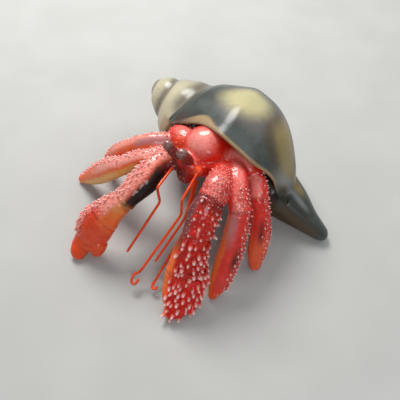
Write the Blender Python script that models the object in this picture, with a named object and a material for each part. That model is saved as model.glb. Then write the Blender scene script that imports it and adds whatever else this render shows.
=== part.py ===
"""A cast-resin hermit crab figure in a whelk shell, with four bent wire feelers.

Sizes are in millimetres and are turned into metres where a mesh is made. +X is the crab's left,
-Y its front and +Z up. Shapes are laid out round the shell and moved by MIDDLE at the end, so
that the origin is on the floor under the middle of the figure.
"""

import math

import bmesh
import bpy
from mathutils import Matrix, Vector

MM = 0.001
GAP = 0.35  # clearance between neighbouring pieces
LIMB_GAP = 1.0  # clearance between two limbs that pass close to each other
LIMB_SIDES = 10
CLAW_SIDES = 12
WELD = 0.02  # points closer than this are one
MIDDLE = Vector((-15.6, 10.4, 0.0))

# Shell: a whelk lying across the crab's back, spire to its right and canal tip on the floor
SPIRE = Vector((-118.8, 68.6, 71.8))
CANAL = Vector((105.2, 65.5, 4.5))
WHORL_GROWTH = 2.03  # how much bigger each turn is
LIP_RADIUS = 76.5
LIP_REFERENCE = 27.0  # the turn, in degrees from the top towards the front, with that radius
CONE_START = 12.8  # distance from the blunt spire back to the cone's own point
SPIRE_ROUND = 15.0  # length over which the spire's point is rounded
CONE_SLOPE = 0.645  # radius of the spire's cone for each millimetre from its point
WHORL_OFFSET = 1.78  # distance along the cone of a whorl's widest place, in its radii
WHORL_REACH = (2.20, 0.94)  # half lengths of a whorl towards the spire and the canal
WHORL_POWER = 1.89
WHORL_SWELLING = 0.975
WHORL_BLEND = 0.05
SUTURE = 0.963  # distance along the cone of a whorl's edge, in the whorl's radii
SUTURE_DROP = 0.0024  # the last whorl's edge creeps up the spire before the lip, from this turn on
SUTURE_DROP_START = -40.0
GROOVE_DEPTH = 0.055  # of the grooves between whorls, in distances along the cone
GROOVE_WIDTH = (0.13, 0.075)  # towards the spire and the canal
GROOVES = 3
GROOVE_END = (62.0, 35.0)  # the turn where the last groove has run out, and over how many degrees
LIP_NARROWING = 0.23  # a whorl is shorter towards the lip, where it runs into the canal
NARROWING = (-30.0, 60.0)  # the turn where that starts, and over how many degrees
CANAL_BLEND = (27.0, 24.0)
CANAL_START = 67.0
CANAL_TAPER = 0.262  # growth of the canal's radius for each millimetre back from its tip
CANAL_RADIUS = (6.0, 24.0)  # at the tip and at most
CANAL_FULL = (-64.0, 90.0, 3.5)  # fuller on the far side: which turn, how far round and how much
CANAL_FULL_FROM = (20.0, 30.0)  # distance from the tip where that starts, and over what length
CANAL_FLAT = (100.0, 50.0, 11.5)  # flatter beside the opening: which turn, how far round, how much
CANAL_TIP = 6.0  # length of the canal's rounded tip
CANAL_TIP_RINGS = (3.0, 0.8, 0.0)  # distances of the last rings from the tip
LIP_ANGLE = 29.8  # the turn where the outer lip ends
LIP_SHOULDER = (29.0, 47.0, 22.0)  # degrees further at the spire side, centred where, and how wide
LIP_DIP = (3.5, 156.0, 12.0)  # degrees less above the legs, centred where, and how wide
LIP_CANAL = (0.2, 162.0)  # degrees further for each millimetre along the canal, from where
WALL = 4.0  # thickness of the shell's lip
CAVITY = (57.0, 174.0)  # where the opening starts and ends along the axis
CAVITY_DEPTH = 74.0  # degrees that the hollow runs back behind the lip
CAVITY_SHALLOWS = 145.0  # past here the hollow loses a degree for each millimetre
CAVITY_MOUTH = 13.0  # degrees that the cutter runs out past the lip
CAVITY_FLOOR = 0.4  # material left over the inner whorl
CAVITY_CLOSING = 0.9  # how far the hollow closes up at its deep end
CAVITY_LEAST = 1.2  # half of its least height
CAVITY_SIDES = 7
CAVITY_STEPS = 13
SHELL_RINGS = 32
SHELL_SIDES = 25
RING_CROWDING = 1.3  # above one, the rings stand closer together towards the spire

# Colours
FLESH_RED = (0.50, 0.03, 0.015)
FLESH_ORANGE = (0.72, 0.13, 0.02)
FLESH_DARK = (0.20, 0.015, 0.015)
SHELL_SLATE = (0.09, 0.11, 0.105)
EYE_BROWN = (0.05, 0.012, 0.012)
WIRE_ORANGE = (0.62, 0.07, 0.02)

# Body: middles and half sizes of its rounded lumps
THORAX_LUMPS = (
    ((-15.0, 28.5, 73.5), (27.0, 24.0, 16.5)),
    ((-19.0, 8.2, 75.0), (15.5, 13.0, 13.0)),
    ((12.0, 38.0, 75.0), (26.0, 15.0, 14.0)),
    ((-36.5, 26.0, 77.0), (22.0, 15.0, 11.5)),
)
CARAPACE = ((-15.9, 30.0, 81.0), (21.3, 21.3, 18.6))
MOUTH = ((-19.5, -3.6, 68.5), (8.0, 6.5, 9.5))
ABDOMEN_INSET = 1.5  # degrees that the abdomen stays behind the lip
ABDOMEN_SLACK = 0.7  # clearance round the abdomen
ABDOMEN_ROWS = 11  # of the rows of the hollow, which it fills from the spire side
BALL_SEGMENTS = 14
SMALL_BALL_SEGMENTS = 10

# Eyes: middle of the bulge, root of the stalk, radius
EYES = {
    "right": (Vector((-36.3, 0.3, 93.5)), Vector((-23.2, 4.2, 75.2)), 4.9),
    "left": (Vector((-20.3, 0.4, 94.0)), Vector((-12.0, 8.2, 75.0)), 5.2),
}
EYE_SIDES = 10
EYE_LIFTS = (5.0, 35.0, 65.0, 84.0)  # degrees of the bulge's rings up from its equator
EYE_SEAM = 0.35  # how far behind the bulge's middle the stalk ends, in radii
SEAM_WIDTH = 0.9  # radius at that seam
STALK_ROOT = 1.05  # radii at the stalk's root, at its middle and just under the eye
STALK_MIDDLE = 0.98
STALK_NECK = 0.92
STALK_NECK_PLACE = 2.5

# Limbs: stations from root to tip, each (x, y, z, half width, half thickness)
LIMB_FACING = Vector((0.37, -0.44, 0.82))  # the way the flat side of every limb looks
LIMB_SPACING = 10.0  # between the rings of a limb, and of a finger or a pointed leg end
FINGER_SPACING = 6.0
DACTYL_SPACING = 5.0
JOINT_INSET = 1.6  # length of the narrow shoulder at a joint
JOINT_WIDTH = 0.9
TIP_LENGTH = 0.4  # how far a limb's rounded tip runs on, in its last half widths
TIP_WIDTH = 0.45
STATION_STEP = 0.06  # part of a station over which a limb's direction is measured
LEFT_CLAW = (
    (8.0, 26.0, 72.0, 10.0, 10.0),
    (19.0, 1.0, 83.0, 12.0, 11.5),
    (22.7, -12.9, 79.5, 11.4, 10.5),
    (23.0, -19.6, 76.0, 12.2, 11.0),
    (24.0, -26.5, 70.0, 13.2, 11.0),
    (27.2, -37.1, 60.0, 12.0, 10.0),
    (29.8, -49.6, 46.0, 14.4, 10.8),
    (33.2, -57.2, 34.0, 17.2, 10.8),
    (35.9, -64.4, 22.5, 18.2, 9.6),
    (38.6, -73.7, 13.2, 16.8, 8.2),
    (40.0, -83.0, 6.8, 11.6, 5.8),
    (39.4, -90.9, 3.2, 4.6, 3.4),
)
RIGHT_CLAW = (
    (-32.0, 16.0, 70.0, 9.0, 9.0),
    (-40.2, -6.5, 73.0, 11.2, 10.0),
    (-40.4, -25.7, 69.0, 13.0, 10.5),
    (-43.4, -40.6, 62.0, 11.2, 10.0),
    (-45.7, -48.3, 57.0, 10.2, 9.4),
    (-53.0, -59.9, 48.0, 13.0, 10.0),
    (-60.0, -74.1, 34.0, 17.2, 10.0),
    (-63.0, -83.7, 20.0, 15.8, 8.6),
)
RIGHT_BIG_FINGER = (
    (-66.1, -79.9, 24.8, 9.6, 8.2),
    (-68.6, -91.2, 11.6, 9.4, 6.6),
    (-66.9, -99.0, 6.0, 8.2, 5.2),
    (-64.6, -103.4, 2.6, 4.6, 3.4),
)
RIGHT_SMALL_FINGER = (
    (-52.8, -80.5, 19.5, 7.6, 7.6),
    (-53.0, -86.2, 11.5, 7.2, 6.2),
    (-53.9, -89.4, 7.0, 5.6, 4.8),
    (-54.4, -91.2, 4.6, 3.0, 3.0),
)
RIGHT_LEG_ONE = (
    (-38.0, 16.0, 72.0, 7.0, 7.0),
    (-54.4, -7.3, 71.0, 7.8, 7.4),
    (-65.8, -15.1, 64.0, 8.2, 7.4),
    (-77.6, -22.2, 54.0, 9.0, 7.4),
    (-89.7, -25.7, 44.0, 11.0, 7.8),
    (-106.1, -30.2, 28.0, 11.2, 7.2),
    (-121.2, -33.6, 13.0, 8.4, 5.6),
    (-134.0, -38.0, 2.4, 4.2, 3.6),
)
RIGHT_LEG_TWO = (
    (-40.0, 26.0, 74.0, 7.6, 7.4),
    (-61.7, 4.9, 76.0, 8.4, 7.4),
    (-75.9, -4.2, 68.0, 8.0, 7.2),
    (-96.0, -8.0, 48.0, 8.8, 7.2),
    (-111.1, -8.7, 27.0, 8.0, 6.2),
    (-124.0, -8.4, 1.6, 3.8, 3.8),
)
LEFT_LEG_ONE = (
    (10.0, 38.0, 78.0, 8.6, 8.4),
    (27.2, 18.0, 80.0, 9.2, 8.4),
    (36.5, 6.3, 76.0, 9.6, 8.4),
    (44.2, -0.9, 68.0, 9.4, 8.2),
    (48.5, -10.1, 56.0, 10.0, 8.2),
    (52.4, -20.8, 42.0, 10.8, 8.2),
    (55.4, -33.7, 26.0, 10.2, 7.2),
    (56.9, -44.2, 12.0, 7.8, 5.4),
    (57.2, -51.7, 1.8, 3.8, 3.6),
)
LEFT_LEG_TWO = (
    (20.0, 43.5, 76.0, 7.4, 7.0),
    (40.5, 30.1, 71.0, 8.2, 7.4),
    (46.3, 24.2, 64.0, 8.0, 7.2),
    (53.8, 19.4, 50.0, 8.8, 7.4),
    (60.9, 10.9, 34.0, 9.4, 7.2),
    (65.3, 3.2, 18.0, 8.6, 6.4),
    (69.0, -3.0, 2.4, 5.2, 5.2),
)

# Stations at which each limb is jointed
LEFT_CLAW_JOINTS = (2.05, 5.1, 7.25)
LEFT_FINGERS_SEAM = (9.0, 0.5)  # station where the parting of the two fingers lies, and how far across
RIGHT_CLAW_JOINTS = (4.2, 5.6, 7.0)
RIGHT_LEG_ONE_JOINTS = (3.0, 5.5)
RIGHT_LEG_TWO_JOINTS = (2.0, 4.0)
LEFT_LEG_ONE_JOINTS = (3.0, 6.0)
LEFT_LEG_TWO_JOINTS = (2.0, 4.6)

# Rows of spines: first and last station, spines in a row, angles of the rows round the limb from
# its outer edge towards its flat side, then a spine's height and the radius of its foot
LEFT_CARPUS_SPINES = (2.5, 4.9, 3, (60.0, 120.0, 165.0), 2.6, 1.7)
LEFT_PALM_SPINES = (5.4, 7.0, 2, (35.0, 75.0, 115.0, 160.0), 2.8, 1.7)
LEFT_FINGER_SPINES = (7.5, 10.2, 4, (82.0, 110.0, 138.0, 170.0), 3.4, 1.7)
RIGHT_MERUS_SPINES = (1.6, 3.8, 3, (20.0, 50.0), 2.0, 1.5)
RIGHT_PALM_SPINES = (5.9, 6.8, 3, (5.0, 35.0), 2.0, 1.5)
LEG_SPINES = (4, 2.4, 1.5)  # number along a leg's edge, height and radius
LEG_SPINES_INSET = (0.3, 0.15)  # how far from its two joints they stay
RIGHT_EDGE = 0.0
LEFT_EDGE = 180.0
SPINE_SIDES = 4
SPINE_LEAN = 0.45  # towards the tip of the limb
SPINE_ROOT = 2.0  # how long a spine's foot runs, most of it under the surface
SPINE_TIP = 0.25  # radius of its end, as part of the foot's

# Wire feelers: routes from the head to the free end
WIRE_RADIUS = 1.25
WIRE_SIDES = 6
BEND = 3.0  # where a bend's rounding starts, from its corner
BEND_SHARE = 0.4  # and at most this part of the straight beside it
RIGHT_FEELER = (
    (-26.8, -3.0, 77.5),
    (-20.5, -32.1, 79.0),
    (-18.8, -32.2, 60.0),
    (-29.0, -71.5, 12.0),
)
LEFT_FEELER = (
    (-5.6, 7.0, 80.5),
    (1.9, -25.8, 75.0),
    (3.0, -29.2, 57.0),
    (-3.6, -79.6, 16.5),
    (-7.6, -84.5, 14.0),
    (-5.2, -90.6, 10.5),
    (-0.6, -90.2, 10.5),
    (-1.2, -83.6, 12.6),
)
LOWER_LEFT_FEELER = (
    (-9.6, 6.0, 72.0),
    (4.0, -21.1, 58.0),
    (4.6, -27.5, 49.0),
    (-1.0, -63.0, 14.0),
)
LOWER_RIGHT_FEELER = (
    (-7.5, 4.8, 64.0),
    (8.7, -29.7, 42.0),
    (10.1, -75.3, 9.0),
    (10.6, -81.0, 7.4),
    (15.0, -81.2, 7.2),
    (15.4, -77.2, 8.2),
)
FEELERS = {
    "antenna_right": RIGHT_FEELER,
    "antenna_left": LEFT_FEELER,
    "antennule_left": LOWER_LEFT_FEELER,
    "antennule_right": LOWER_RIGHT_FEELER,
}
FEELER_BOSSES = {
    "antenna_left": ("antenna_base_left", (-6.0, 4.6, 79.0), (5.0, 4.4, 4.4)),
    "antenna_right": ("antenna_base_right", (-27.4, -3.6, 76.5), (4.2, 4.0, 4.0)),
}

FLOOR = Vector((0.0, 0.0, 0.0))
DOWN = Vector((0.0, 0.0, -1.0))

# Materials

def paint(name, colour, roughness=0.3, metallic=0.0):
    material = bpy.data.materials.new(name)
    material.use_nodes = True
    shader = material.node_tree.nodes["Principled BSDF"]
    shader.inputs["Base Color"].default_value = (*colour, 1.0)
    shader.inputs["Roughness"].default_value = roughness
    shader.inputs["Metallic"].default_value = metallic
    return material


# Mesh helpers

def lofted(rings):
    """One closed mesh through rings of points, all of one count, with both ends filled."""
    mesh = bmesh.new()
    count = len(rings[0])
    loop = bmesh.ops.create_circle(mesh, segments=count, radius=1.0)["verts"]
    for vert, point in zip(loop, rings[0]):
        vert.co = point
    ends = [loop_edges(mesh, loop)]
    for ring in rings[1:]:
        made = bmesh.ops.extrude_edge_only(mesh, edges=loop_edges(mesh, loop))["geom"]
        fresh = {item for item in made if isinstance(item, bmesh.types.BMVert)}
        loop = [next(edge.other_vert(vert) for edge in vert.link_edges
                     if edge.other_vert(vert) in fresh) for vert in loop]
        for vert, point in zip(loop, ring):
            vert.co = point
    ends.append(loop_edges(mesh, loop))
    for edges in ends:
        bmesh.ops.contextual_create(mesh, geom=edges)
    bmesh.ops.remove_doubles(mesh, verts=mesh.verts[:], dist=WELD)
    bmesh.ops.recalc_face_normals(mesh, faces=mesh.faces[:])
    return mesh


def loop_edges(mesh, loop):
    return [mesh.edges.get((vert, loop[index - 1])) for index, vert in enumerate(loop)]


def split(mesh, point, normal):
    """Keeps what lies behind a plane and closes the cut."""
    geometry = mesh.verts[:] + mesh.edges[:] + mesh.faces[:]
    bmesh.ops.bisect_plane(mesh, geom=geometry, plane_co=point, plane_no=normal, clear_outer=True)
    rim = [edge for edge in mesh.edges if edge.is_boundary]
    if rim:
        bmesh.ops.holes_fill(mesh, edges=rim)
    bmesh.ops.recalc_face_normals(mesh, faces=mesh.faces[:])
    return mesh


def grown(mesh, distance):
    """Moves the whole surface out, or in where the distance is negative."""
    mesh.normal_update()
    moves = [(vert, vert.normal * distance) for vert in mesh.verts]
    for vert, move in moves:
        vert.co += move
    return mesh


def added(name, mesh, material=None):
    """Puts a mesh in the scene, in metres round the figure's middle; with no material it is a cutter."""
    bmesh.ops.translate(mesh, verts=mesh.verts[:], vec=-MIDDLE)
    bmesh.ops.scale(mesh, verts=mesh.verts[:], vec=(MM, MM, MM))
    data = bpy.data.meshes.new(name)
    mesh.to_mesh(data)
    mesh.free()
    data.shade_smooth()
    item = bpy.data.objects.new(name, data)
    bpy.context.collection.objects.link(item)
    if material:
        data.materials.append(material)
    else:
        item.hide_render = True
        item.display_type = "WIRE"
    return item


def boolean(item, other, operation):
    modifier = item.modifiers.new(other.name, "BOOLEAN")
    modifier.operation = operation
    modifier.object = other
    modifier.solver = "EXACT"


def cut_by(item, *others):
    for other in others:
        boolean(item, other, "DIFFERENCE")


def joined_with(item, *others):
    for other in others:
        boolean(item, other, "UNION")


def ball(centre, radii, segments=BALL_SEGMENTS):
    mesh = bmesh.new()
    bmesh.ops.create_uvsphere(mesh, u_segments=segments, v_segments=segments // 2, radius=1.0)
    bmesh.ops.scale(mesh, verts=mesh.verts[:], vec=radii)
    bmesh.ops.translate(mesh, verts=mesh.verts[:], vec=centre)
    return mesh


# Shell

AXIS = (CANAL - SPIRE).normalized()
AXIS_LENGTH = (CANAL - SPIRE).length
TOPWARD = (Vector((0.0, 0.0, 1.0)) - AXIS * AXIS.z).normalized()
FRONTWARD = AXIS.cross(TOPWARD)


def smooth_max(first, second, blend):
    share = min(max(0.5 + 0.5 * (first - second) / blend, 0.0), 1.0)
    return second + (first - second) * share + blend * share * (1.0 - share)


def smooth_step(share):
    share = min(max(share, 0.0), 1.0)
    return share * share * (3.0 - 2.0 * share)


def round_about(angle, centre, half):
    """One at a turn, falling to zero that many degrees to either side."""
    off = abs((angle - centre + 180.0) % 360.0 - 180.0)
    return smooth_step(1.0 - off / half)


def rounding(share):
    """Zero at a round end, rising like a quarter circle to one where the share reaches one."""
    return math.sqrt(max(1.0 - (1.0 - min(share, 1.0)) ** 2, 0.0))


def towards_lip(angle):
    start, span = NARROWING
    return smooth_step((angle - start) / span)


def whorl_scale(angle):
    return LIP_RADIUS * WHORL_GROWTH ** ((angle - LIP_REFERENCE) / 360.0)


def groove(along, angle):
    """Depth of the grooves between whorls: a gentle fall on the spire's side, then a steep rise."""
    depth = 0.0
    for earlier in range(GROOVES):
        turn = angle - 360.0 * earlier
        size = (SUTURE - SUTURE_DROP * max(turn - SUTURE_DROP_START, 0.0)) * whorl_scale(turn)
        off = along + CONE_START - size
        width = GROOVE_WIDTH[0 if off < 0.0 else 1] * size
        end, span = GROOVE_END
        fade = smooth_step((end - turn) / span)
        depth += fade * GROOVE_DEPTH * size * math.exp(-(off / width) ** 2)
    return depth


def whorl_radius(along, angle):
    """The cone of the spire, running into the swelling of the last whorl."""
    scale = whorl_scale(angle)
    place = (along + CONE_START) / scale - WHORL_OFFSET
    reach = WHORL_REACH[0] if place < 0.0 else WHORL_REACH[1] - LIP_NARROWING * towards_lip(angle)
    inside = 1.0 - abs(place / reach) ** WHORL_POWER
    swelling = WHORL_SWELLING * scale * (inside ** (1.0 / WHORL_POWER) if inside > 0.0 else inside)
    cone = CONE_SLOPE * (along + CONE_START)
    return -smooth_max(-swelling, -cone, WHORL_BLEND * scale) - groove(along, angle)


def canal_radius(along, angle):
    """The straight snout round the axis, tapering to a rounded tip."""
    if along <= CANAL_START:
        return 0.0
    back = AXIS_LENGTH - along
    centre, half, flat = CANAL_FLAT
    most = CANAL_RADIUS[1] - flat * round_about(angle, centre, half)
    taper = min(CANAL_RADIUS[0] + CANAL_TAPER * back, most)
    centre, half, full = CANAL_FULL
    start, length = CANAL_FULL_FROM
    taper += full * round_about(angle, centre, half) * smooth_step((back - start) / length)
    return taper * rounding(back / CANAL_TIP)


def shell_radius(along, angle):
    """Distance of the surface from the axis; the angle runs from the top towards the front."""
    blend = CANAL_BLEND[0] + (CANAL_BLEND[1] - CANAL_BLEND[0]) * towards_lip(angle)
    radius = smooth_max(whorl_radius(along, angle), canal_radius(along, angle), blend)
    return radius * rounding(along / SPIRE_ROUND)


def lip_angle(along):
    """Where the outer lip ends: it wraps forward at the spire side and again along the canal."""
    extra, centre, spread = LIP_SHOULDER
    slope, start = LIP_CANAL
    shoulder = extra * math.exp(-((along - centre) / spread) ** 2)
    back, place, width = LIP_DIP
    dip = back * math.exp(-((along - place) / width) ** 2)
    return LIP_ANGLE + shoulder - dip + slope * max(along - start, 0.0)


def shell_point(along, angle, radius):
    turn = math.radians(angle)
    return SPIRE + AXIS * along + (TOPWARD * math.cos(turn) + FRONTWARD * math.sin(turn)) * radius


def shell_solid():
    rings = []
    places = [AXIS_LENGTH * (step / SHELL_RINGS) ** RING_CROWDING for step in range(SHELL_RINGS)]
    places += [AXIS_LENGTH - back for back in CANAL_TIP_RINGS]
    for along in places:
        start = lip_angle(along)
        ring = []
        for side in range(SHELL_SIDES + 1):
            angle = start - 360.0 * side / SHELL_SIDES
            ring.append(shell_point(along, angle, shell_radius(along, angle) + WELD))
        rings.append(ring)
    return lofted(rings)


def cavity_solid(reach=CAVITY_MOUTH, rows=CAVITY_STEPS):
    """The crescent hollow behind the lip, running out past it by some degrees into the open."""
    rings = []
    for step in range(rows + 1):
        along = CAVITY[0] + (CAVITY[1] - CAVITY[0]) * step / CAVITY_STEPS
        depth = CAVITY_DEPTH - max(along - CAVITY_SHALLOWS, 0.0)
        outer = []
        inner = []
        columns = [depth * side / CAVITY_SIDES for side in range(CAVITY_SIDES + 1)]
        if reach > 0.0:
            columns.insert(0, -reach)
        else:
            columns[0] = -reach
        for behind in columns:
            angle = lip_angle(along) - behind
            floor = shell_radius(along, angle - 360.0) + CAVITY_FLOOR
            roof = shell_radius(along, angle) - WALL
            middle = 0.5 * (floor + roof)
            narrowing = math.sqrt(1.0 - CAVITY_CLOSING * max(behind / depth, 0.0) ** 3)
            half = max(0.5 * (roof - floor) * narrowing, CAVITY_LEAST)
            outer.append(shell_point(along, angle, middle + half))
            inner.append(shell_point(along, angle, middle - half))
        rings.append(outer + inner[::-1])
    return lofted(rings)


def make_shell(material):
    shell = added("shell", split(shell_solid(), FLOOR, DOWN), material)
    cut_by(shell, added("cavity_cutter", cavity_solid()))
    clear = added("shell_clearance", grown(shell_solid(), GAP))
    cut_by(clear, added("cavity_clearance", grown(cavity_solid(), -GAP)))
    return clear


# Limbs

def station(stations, at):
    """The limb's values at any place, smooth through its stations."""
    last = len(stations) - 1
    at = min(max(at, 0.0), float(last))
    here = min(int(at), last - 1)
    share = at - here
    before, first, second, after = (
        stations[min(max(here + step, 0), last)] for step in (-1, 0, 1, 2))
    values = []
    for a, b, c, d in zip(before, first, second, after):
        values.append(0.5 * (2.0 * b + (c - a) * share + (2.0 * a - 5.0 * b + 4.0 * c - d) * share ** 2
                             + (3.0 * b - a - 3.0 * c + d) * share ** 3))
    return Vector(values[:3]), values[3], values[4]


def limb_frame(stations, at):
    """Centre, direction, the way across the flat side, and the way it faces."""
    centre, wide, thick = station(stations, at)
    ahead, behind = (station(stations, at + step)[0] for step in (STATION_STEP, -STATION_STEP))
    along = (ahead - behind).normalized()
    across = along.cross(LIMB_FACING).normalized()
    return centre, along, across, across.cross(along), wide, thick


def limb_ring(stations, at, sides, shift=0.0, swell=1.0):
    centre, along, across, face, wide, thick = limb_frame(stations, at)
    ring = []
    for side in range(sides):
        turn = 2.0 * math.pi * side / sides
        ring.append(centre + along * shift + across * wide * swell * math.cos(turn)
                    + face * thick * swell * math.sin(turn))
    return ring


def limb_mesh(stations, start, end, sides=LIMB_SIDES, spacing=LIMB_SPACING):
    """A length of a limb, with a narrow shoulder at each joint that it ends at."""
    length = (station(stations, end)[0] - station(stations, start)[0]).length
    steps = max(int(length / spacing), 2)
    inset = JOINT_INSET * (end - start) / length
    places = [start + inset + (end - start - 2.0 * inset) * step / steps for step in range(steps + 1)]
    first = limb_ring(stations, start, sides, 0.5 * GAP, JOINT_WIDTH)
    rings = [limb_ring(stations, place, sides) for place in places]
    if end >= len(stations) - 1:
        last = limb_ring(stations, end, sides, TIP_LENGTH * station(stations, end)[1], TIP_WIDTH)
    else:
        last = limb_ring(stations, end, sides, -0.5 * GAP, JOINT_WIDTH)
    return lofted([first] + rings + [last])


def surface(stations, at, turn):
    """A point on a limb and the way out of it, at an angle from across towards the flat side."""
    centre, along, across, face, wide, thick = limb_frame(stations, at)
    angle = math.radians(turn)
    point = centre + across * wide * math.cos(angle) + face * thick * math.sin(angle)
    outward = (across * math.cos(angle) / wide + face * math.sin(angle) / thick).normalized()
    return point, outward, along


def spine_mesh(stations, start, end, count, turns, height, radius):
    """Cones in staggered rows along a limb, leaning towards its tip, one row for each angle."""
    mesh = bmesh.new()
    for row, turn in enumerate(turns):
        for step in range(count):
            at = start + (end - start) * (step + 0.5 * (row % 2)) / count
            point, outward, along = surface(stations, at, turn)
            lean = (outward + SPINE_LEAN * along).normalized()
            made = bmesh.ops.create_cone(mesh, cap_ends=True, segments=SPINE_SIDES, radius1=radius,
                                         radius2=SPINE_TIP * radius, depth=height + SPINE_ROOT)["verts"]
            turned = (-DOWN).rotation_difference(lean).to_matrix().to_4x4()
            middle = point + lean * 0.5 * (height - SPINE_ROOT)
            bmesh.ops.transform(mesh, verts=made, matrix=Matrix.Translation(middle) @ turned)
    return mesh


def make_piece(name, mesh, material, spines=None):
    """A piece of a limb, flat underneath where it meets the floor, with its spines joined on."""
    piece = added(name, split(mesh, FLOOR, DOWN), material)
    if spines:
        joined_with(piece, added(name + "_spines", spines))
    return piece


def make_left_claw(material, clearances):
    elbow, wrist, knuckle = LEFT_CLAW_JOINTS
    merus = make_piece("left_claw_merus", limb_mesh(LEFT_CLAW, 0.0, elbow, CLAW_SIDES), material)
    cut_by(merus, *clearances)
    make_piece("left_claw_carpus", limb_mesh(LEFT_CLAW, elbow, wrist, CLAW_SIDES), material,
               spine_mesh(LEFT_CLAW, *LEFT_CARPUS_SPINES))
    make_piece("left_claw_palm", limb_mesh(LEFT_CLAW, wrist, knuckle, CLAW_SIDES), material,
               spine_mesh(LEFT_CLAW, *LEFT_PALM_SPINES))
    tip = limb_mesh(LEFT_CLAW, knuckle, len(LEFT_CLAW) - 1, CLAW_SIDES, FINGER_SPACING)
    centre, along, across, face, wide, thick = limb_frame(LEFT_CLAW, LEFT_FINGERS_SEAM[0])
    seam = centre + across * LEFT_FINGERS_SEAM[1] * wide
    moving = split(tip.copy(), seam - across * 0.5 * GAP, across)
    fixed = split(tip, seam + across * 0.5 * GAP, -across)
    make_piece("left_claw_movable_finger", moving, material, spine_mesh(LEFT_CLAW, *LEFT_FINGER_SPINES))
    make_piece("left_claw_fixed_finger", fixed, material)


def finger(stations):
    return limb_mesh(stations, 0.0, len(stations) - 1, LIMB_SIDES, FINGER_SPACING)


def make_right_claw(material, clearances):
    elbow, wrist, knuckle = RIGHT_CLAW_JOINTS
    merus = make_piece("right_claw_merus", limb_mesh(RIGHT_CLAW, 0.0, elbow, CLAW_SIDES), material,
                       spine_mesh(RIGHT_CLAW, *RIGHT_MERUS_SPINES))
    cut_by(merus, *clearances)
    make_piece("right_claw_carpus", limb_mesh(RIGHT_CLAW, elbow, wrist, CLAW_SIDES), material)
    make_piece("right_claw_palm", limb_mesh(RIGHT_CLAW, wrist, knuckle, CLAW_SIDES), material,
               spine_mesh(RIGHT_CLAW, *RIGHT_PALM_SPINES))
    palm = added("palm_clearance", grown(limb_mesh(RIGHT_CLAW, wrist, knuckle, CLAW_SIDES), GAP))
    big = make_piece("right_claw_movable_finger", finger(RIGHT_BIG_FINGER), material)
    cut_by(big, palm)
    small = make_piece("right_claw_fixed_finger", finger(RIGHT_SMALL_FINGER), material)
    cut_by(small, palm, added("finger_clearance", grown(finger(RIGHT_BIG_FINGER), GAP)))


def make_leg(name, stations, joints, edge, material, body, neighbours):
    """Merus, propodus and dactyl, with a row of spines along one edge."""
    knee, ankle = joints
    count, height, radius = LEG_SPINES
    merus = make_piece(name + "_merus", limb_mesh(stations, 0.0, knee), material)
    spines = spine_mesh(stations, knee + LEG_SPINES_INSET[0], ankle - LEG_SPINES_INSET[1], count, (edge,),
                        height, radius)
    propodus = make_piece(name + "_propodus", limb_mesh(stations, knee, ankle), material, spines)
    cut_by(merus, *body, *neighbours)
    cut_by(propodus, *neighbours)
    end = len(stations) - 1
    make_piece(name + "_dactyl", limb_mesh(stations, ankle, end, spacing=DACTYL_SPACING), material)


def limb_clearance(name, stations, end):
    return added(name, grown(limb_mesh(stations, 0.0, end), LIMB_GAP))


# Body

def make_body(red, dark, shell_clearance):
    """The thorax in front of the opening, the carapace on it, and the abdomen that fills the shell."""
    main_lump, *others = THORAX_LUMPS
    clearances = [added(f"thorax_clearance_{number}", grown(ball(*lump), GAP))
                  for number, lump in enumerate(THORAX_LUMPS)]
    thorax = added("thorax", ball(*main_lump), red)
    for number, lump in enumerate(others):
        joined_with(thorax, added(f"thorax_lump_{number}", ball(*lump)))
    abdomen = added("abdomen", grown(cavity_solid(-ABDOMEN_INSET, ABDOMEN_ROWS), -ABDOMEN_SLACK), red)
    cut_by(abdomen, *clearances)
    carapace = added("carapace", ball(*CARAPACE), red)
    clearances.append(added("abdomen_clearance", grown(cavity_solid(-ABDOMEN_INSET, ABDOMEN_ROWS), -GAP)))
    cut_by(carapace, *clearances)
    mouth = added("mouthparts", ball(*MOUTH, SMALL_BALL_SEGMENTS), dark)
    cut_by(mouth, *clearances)
    for piece in (thorax, carapace):
        cut_by(piece, shell_clearance)
    dome = added("carapace_clearance", grown(ball(*CARAPACE), GAP))
    lips = added("mouth_clearance", grown(ball(*MOUTH, SMALL_BALL_SEGMENTS), GAP))
    return [*clearances, dome, shell_clearance, lips]


def make_eye(side, stalk_material, eye_material, clearances):
    """A stout stalk ending in a rounded eye, parted just behind the bulge."""
    tip, root, radius = EYES[side]
    along = (tip - root).normalized()
    seam = tip - along * EYE_SEAM * radius
    length = (seam - root).length
    across = along.orthogonal().normalized()
    other = along.cross(across)

    def ring(distance, size):
        turns = [2.0 * math.pi * step / EYE_SIDES for step in range(EYE_SIDES)]
        return [seam + along * distance
                + (across * math.cos(turn) + other * math.sin(turn)) * size * radius for turn in turns]

    bulge = [ring(radius * (EYE_SEAM + math.sin(lift)), math.cos(lift))
             for lift in map(math.radians, EYE_LIFTS)]
    added(f"eye_{side}", lofted([ring(0.5 * GAP, SEAM_WIDTH)] + bulge), eye_material)
    lower = [ring(-length, STALK_ROOT), ring(-0.5 * length, STALK_MIDDLE)]
    neck = [ring(-STALK_NECK_PLACE, STALK_NECK), ring(-0.5 * GAP, SEAM_WIDTH)]
    stalk = added(f"eyestalk_{side}", lofted(lower + neck), stalk_material)
    cut_by(stalk, *clearances)
    return added(f"stalk_clearance_{side}", grown(lofted(lower + [ring(0.0, SEAM_WIDTH)]), GAP))


# Wire feelers

def bent_route(corners):
    """The route with each inner corner rounded by a short curve."""
    points = [Vector(corners[0])]
    for before, corner, after in zip(corners, corners[1:], corners[2:]):
        corner = Vector(corner)
        back = Vector(before) - corner
        onward = Vector(after) - corner
        first = corner + back.normalized() * min(BEND, BEND_SHARE * back.length)
        last = corner + onward.normalized() * min(BEND, BEND_SHARE * onward.length)
        points += [first, 0.25 * first + 0.5 * corner + 0.25 * last, last]
    points.append(Vector(corners[-1]))
    return points


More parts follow.
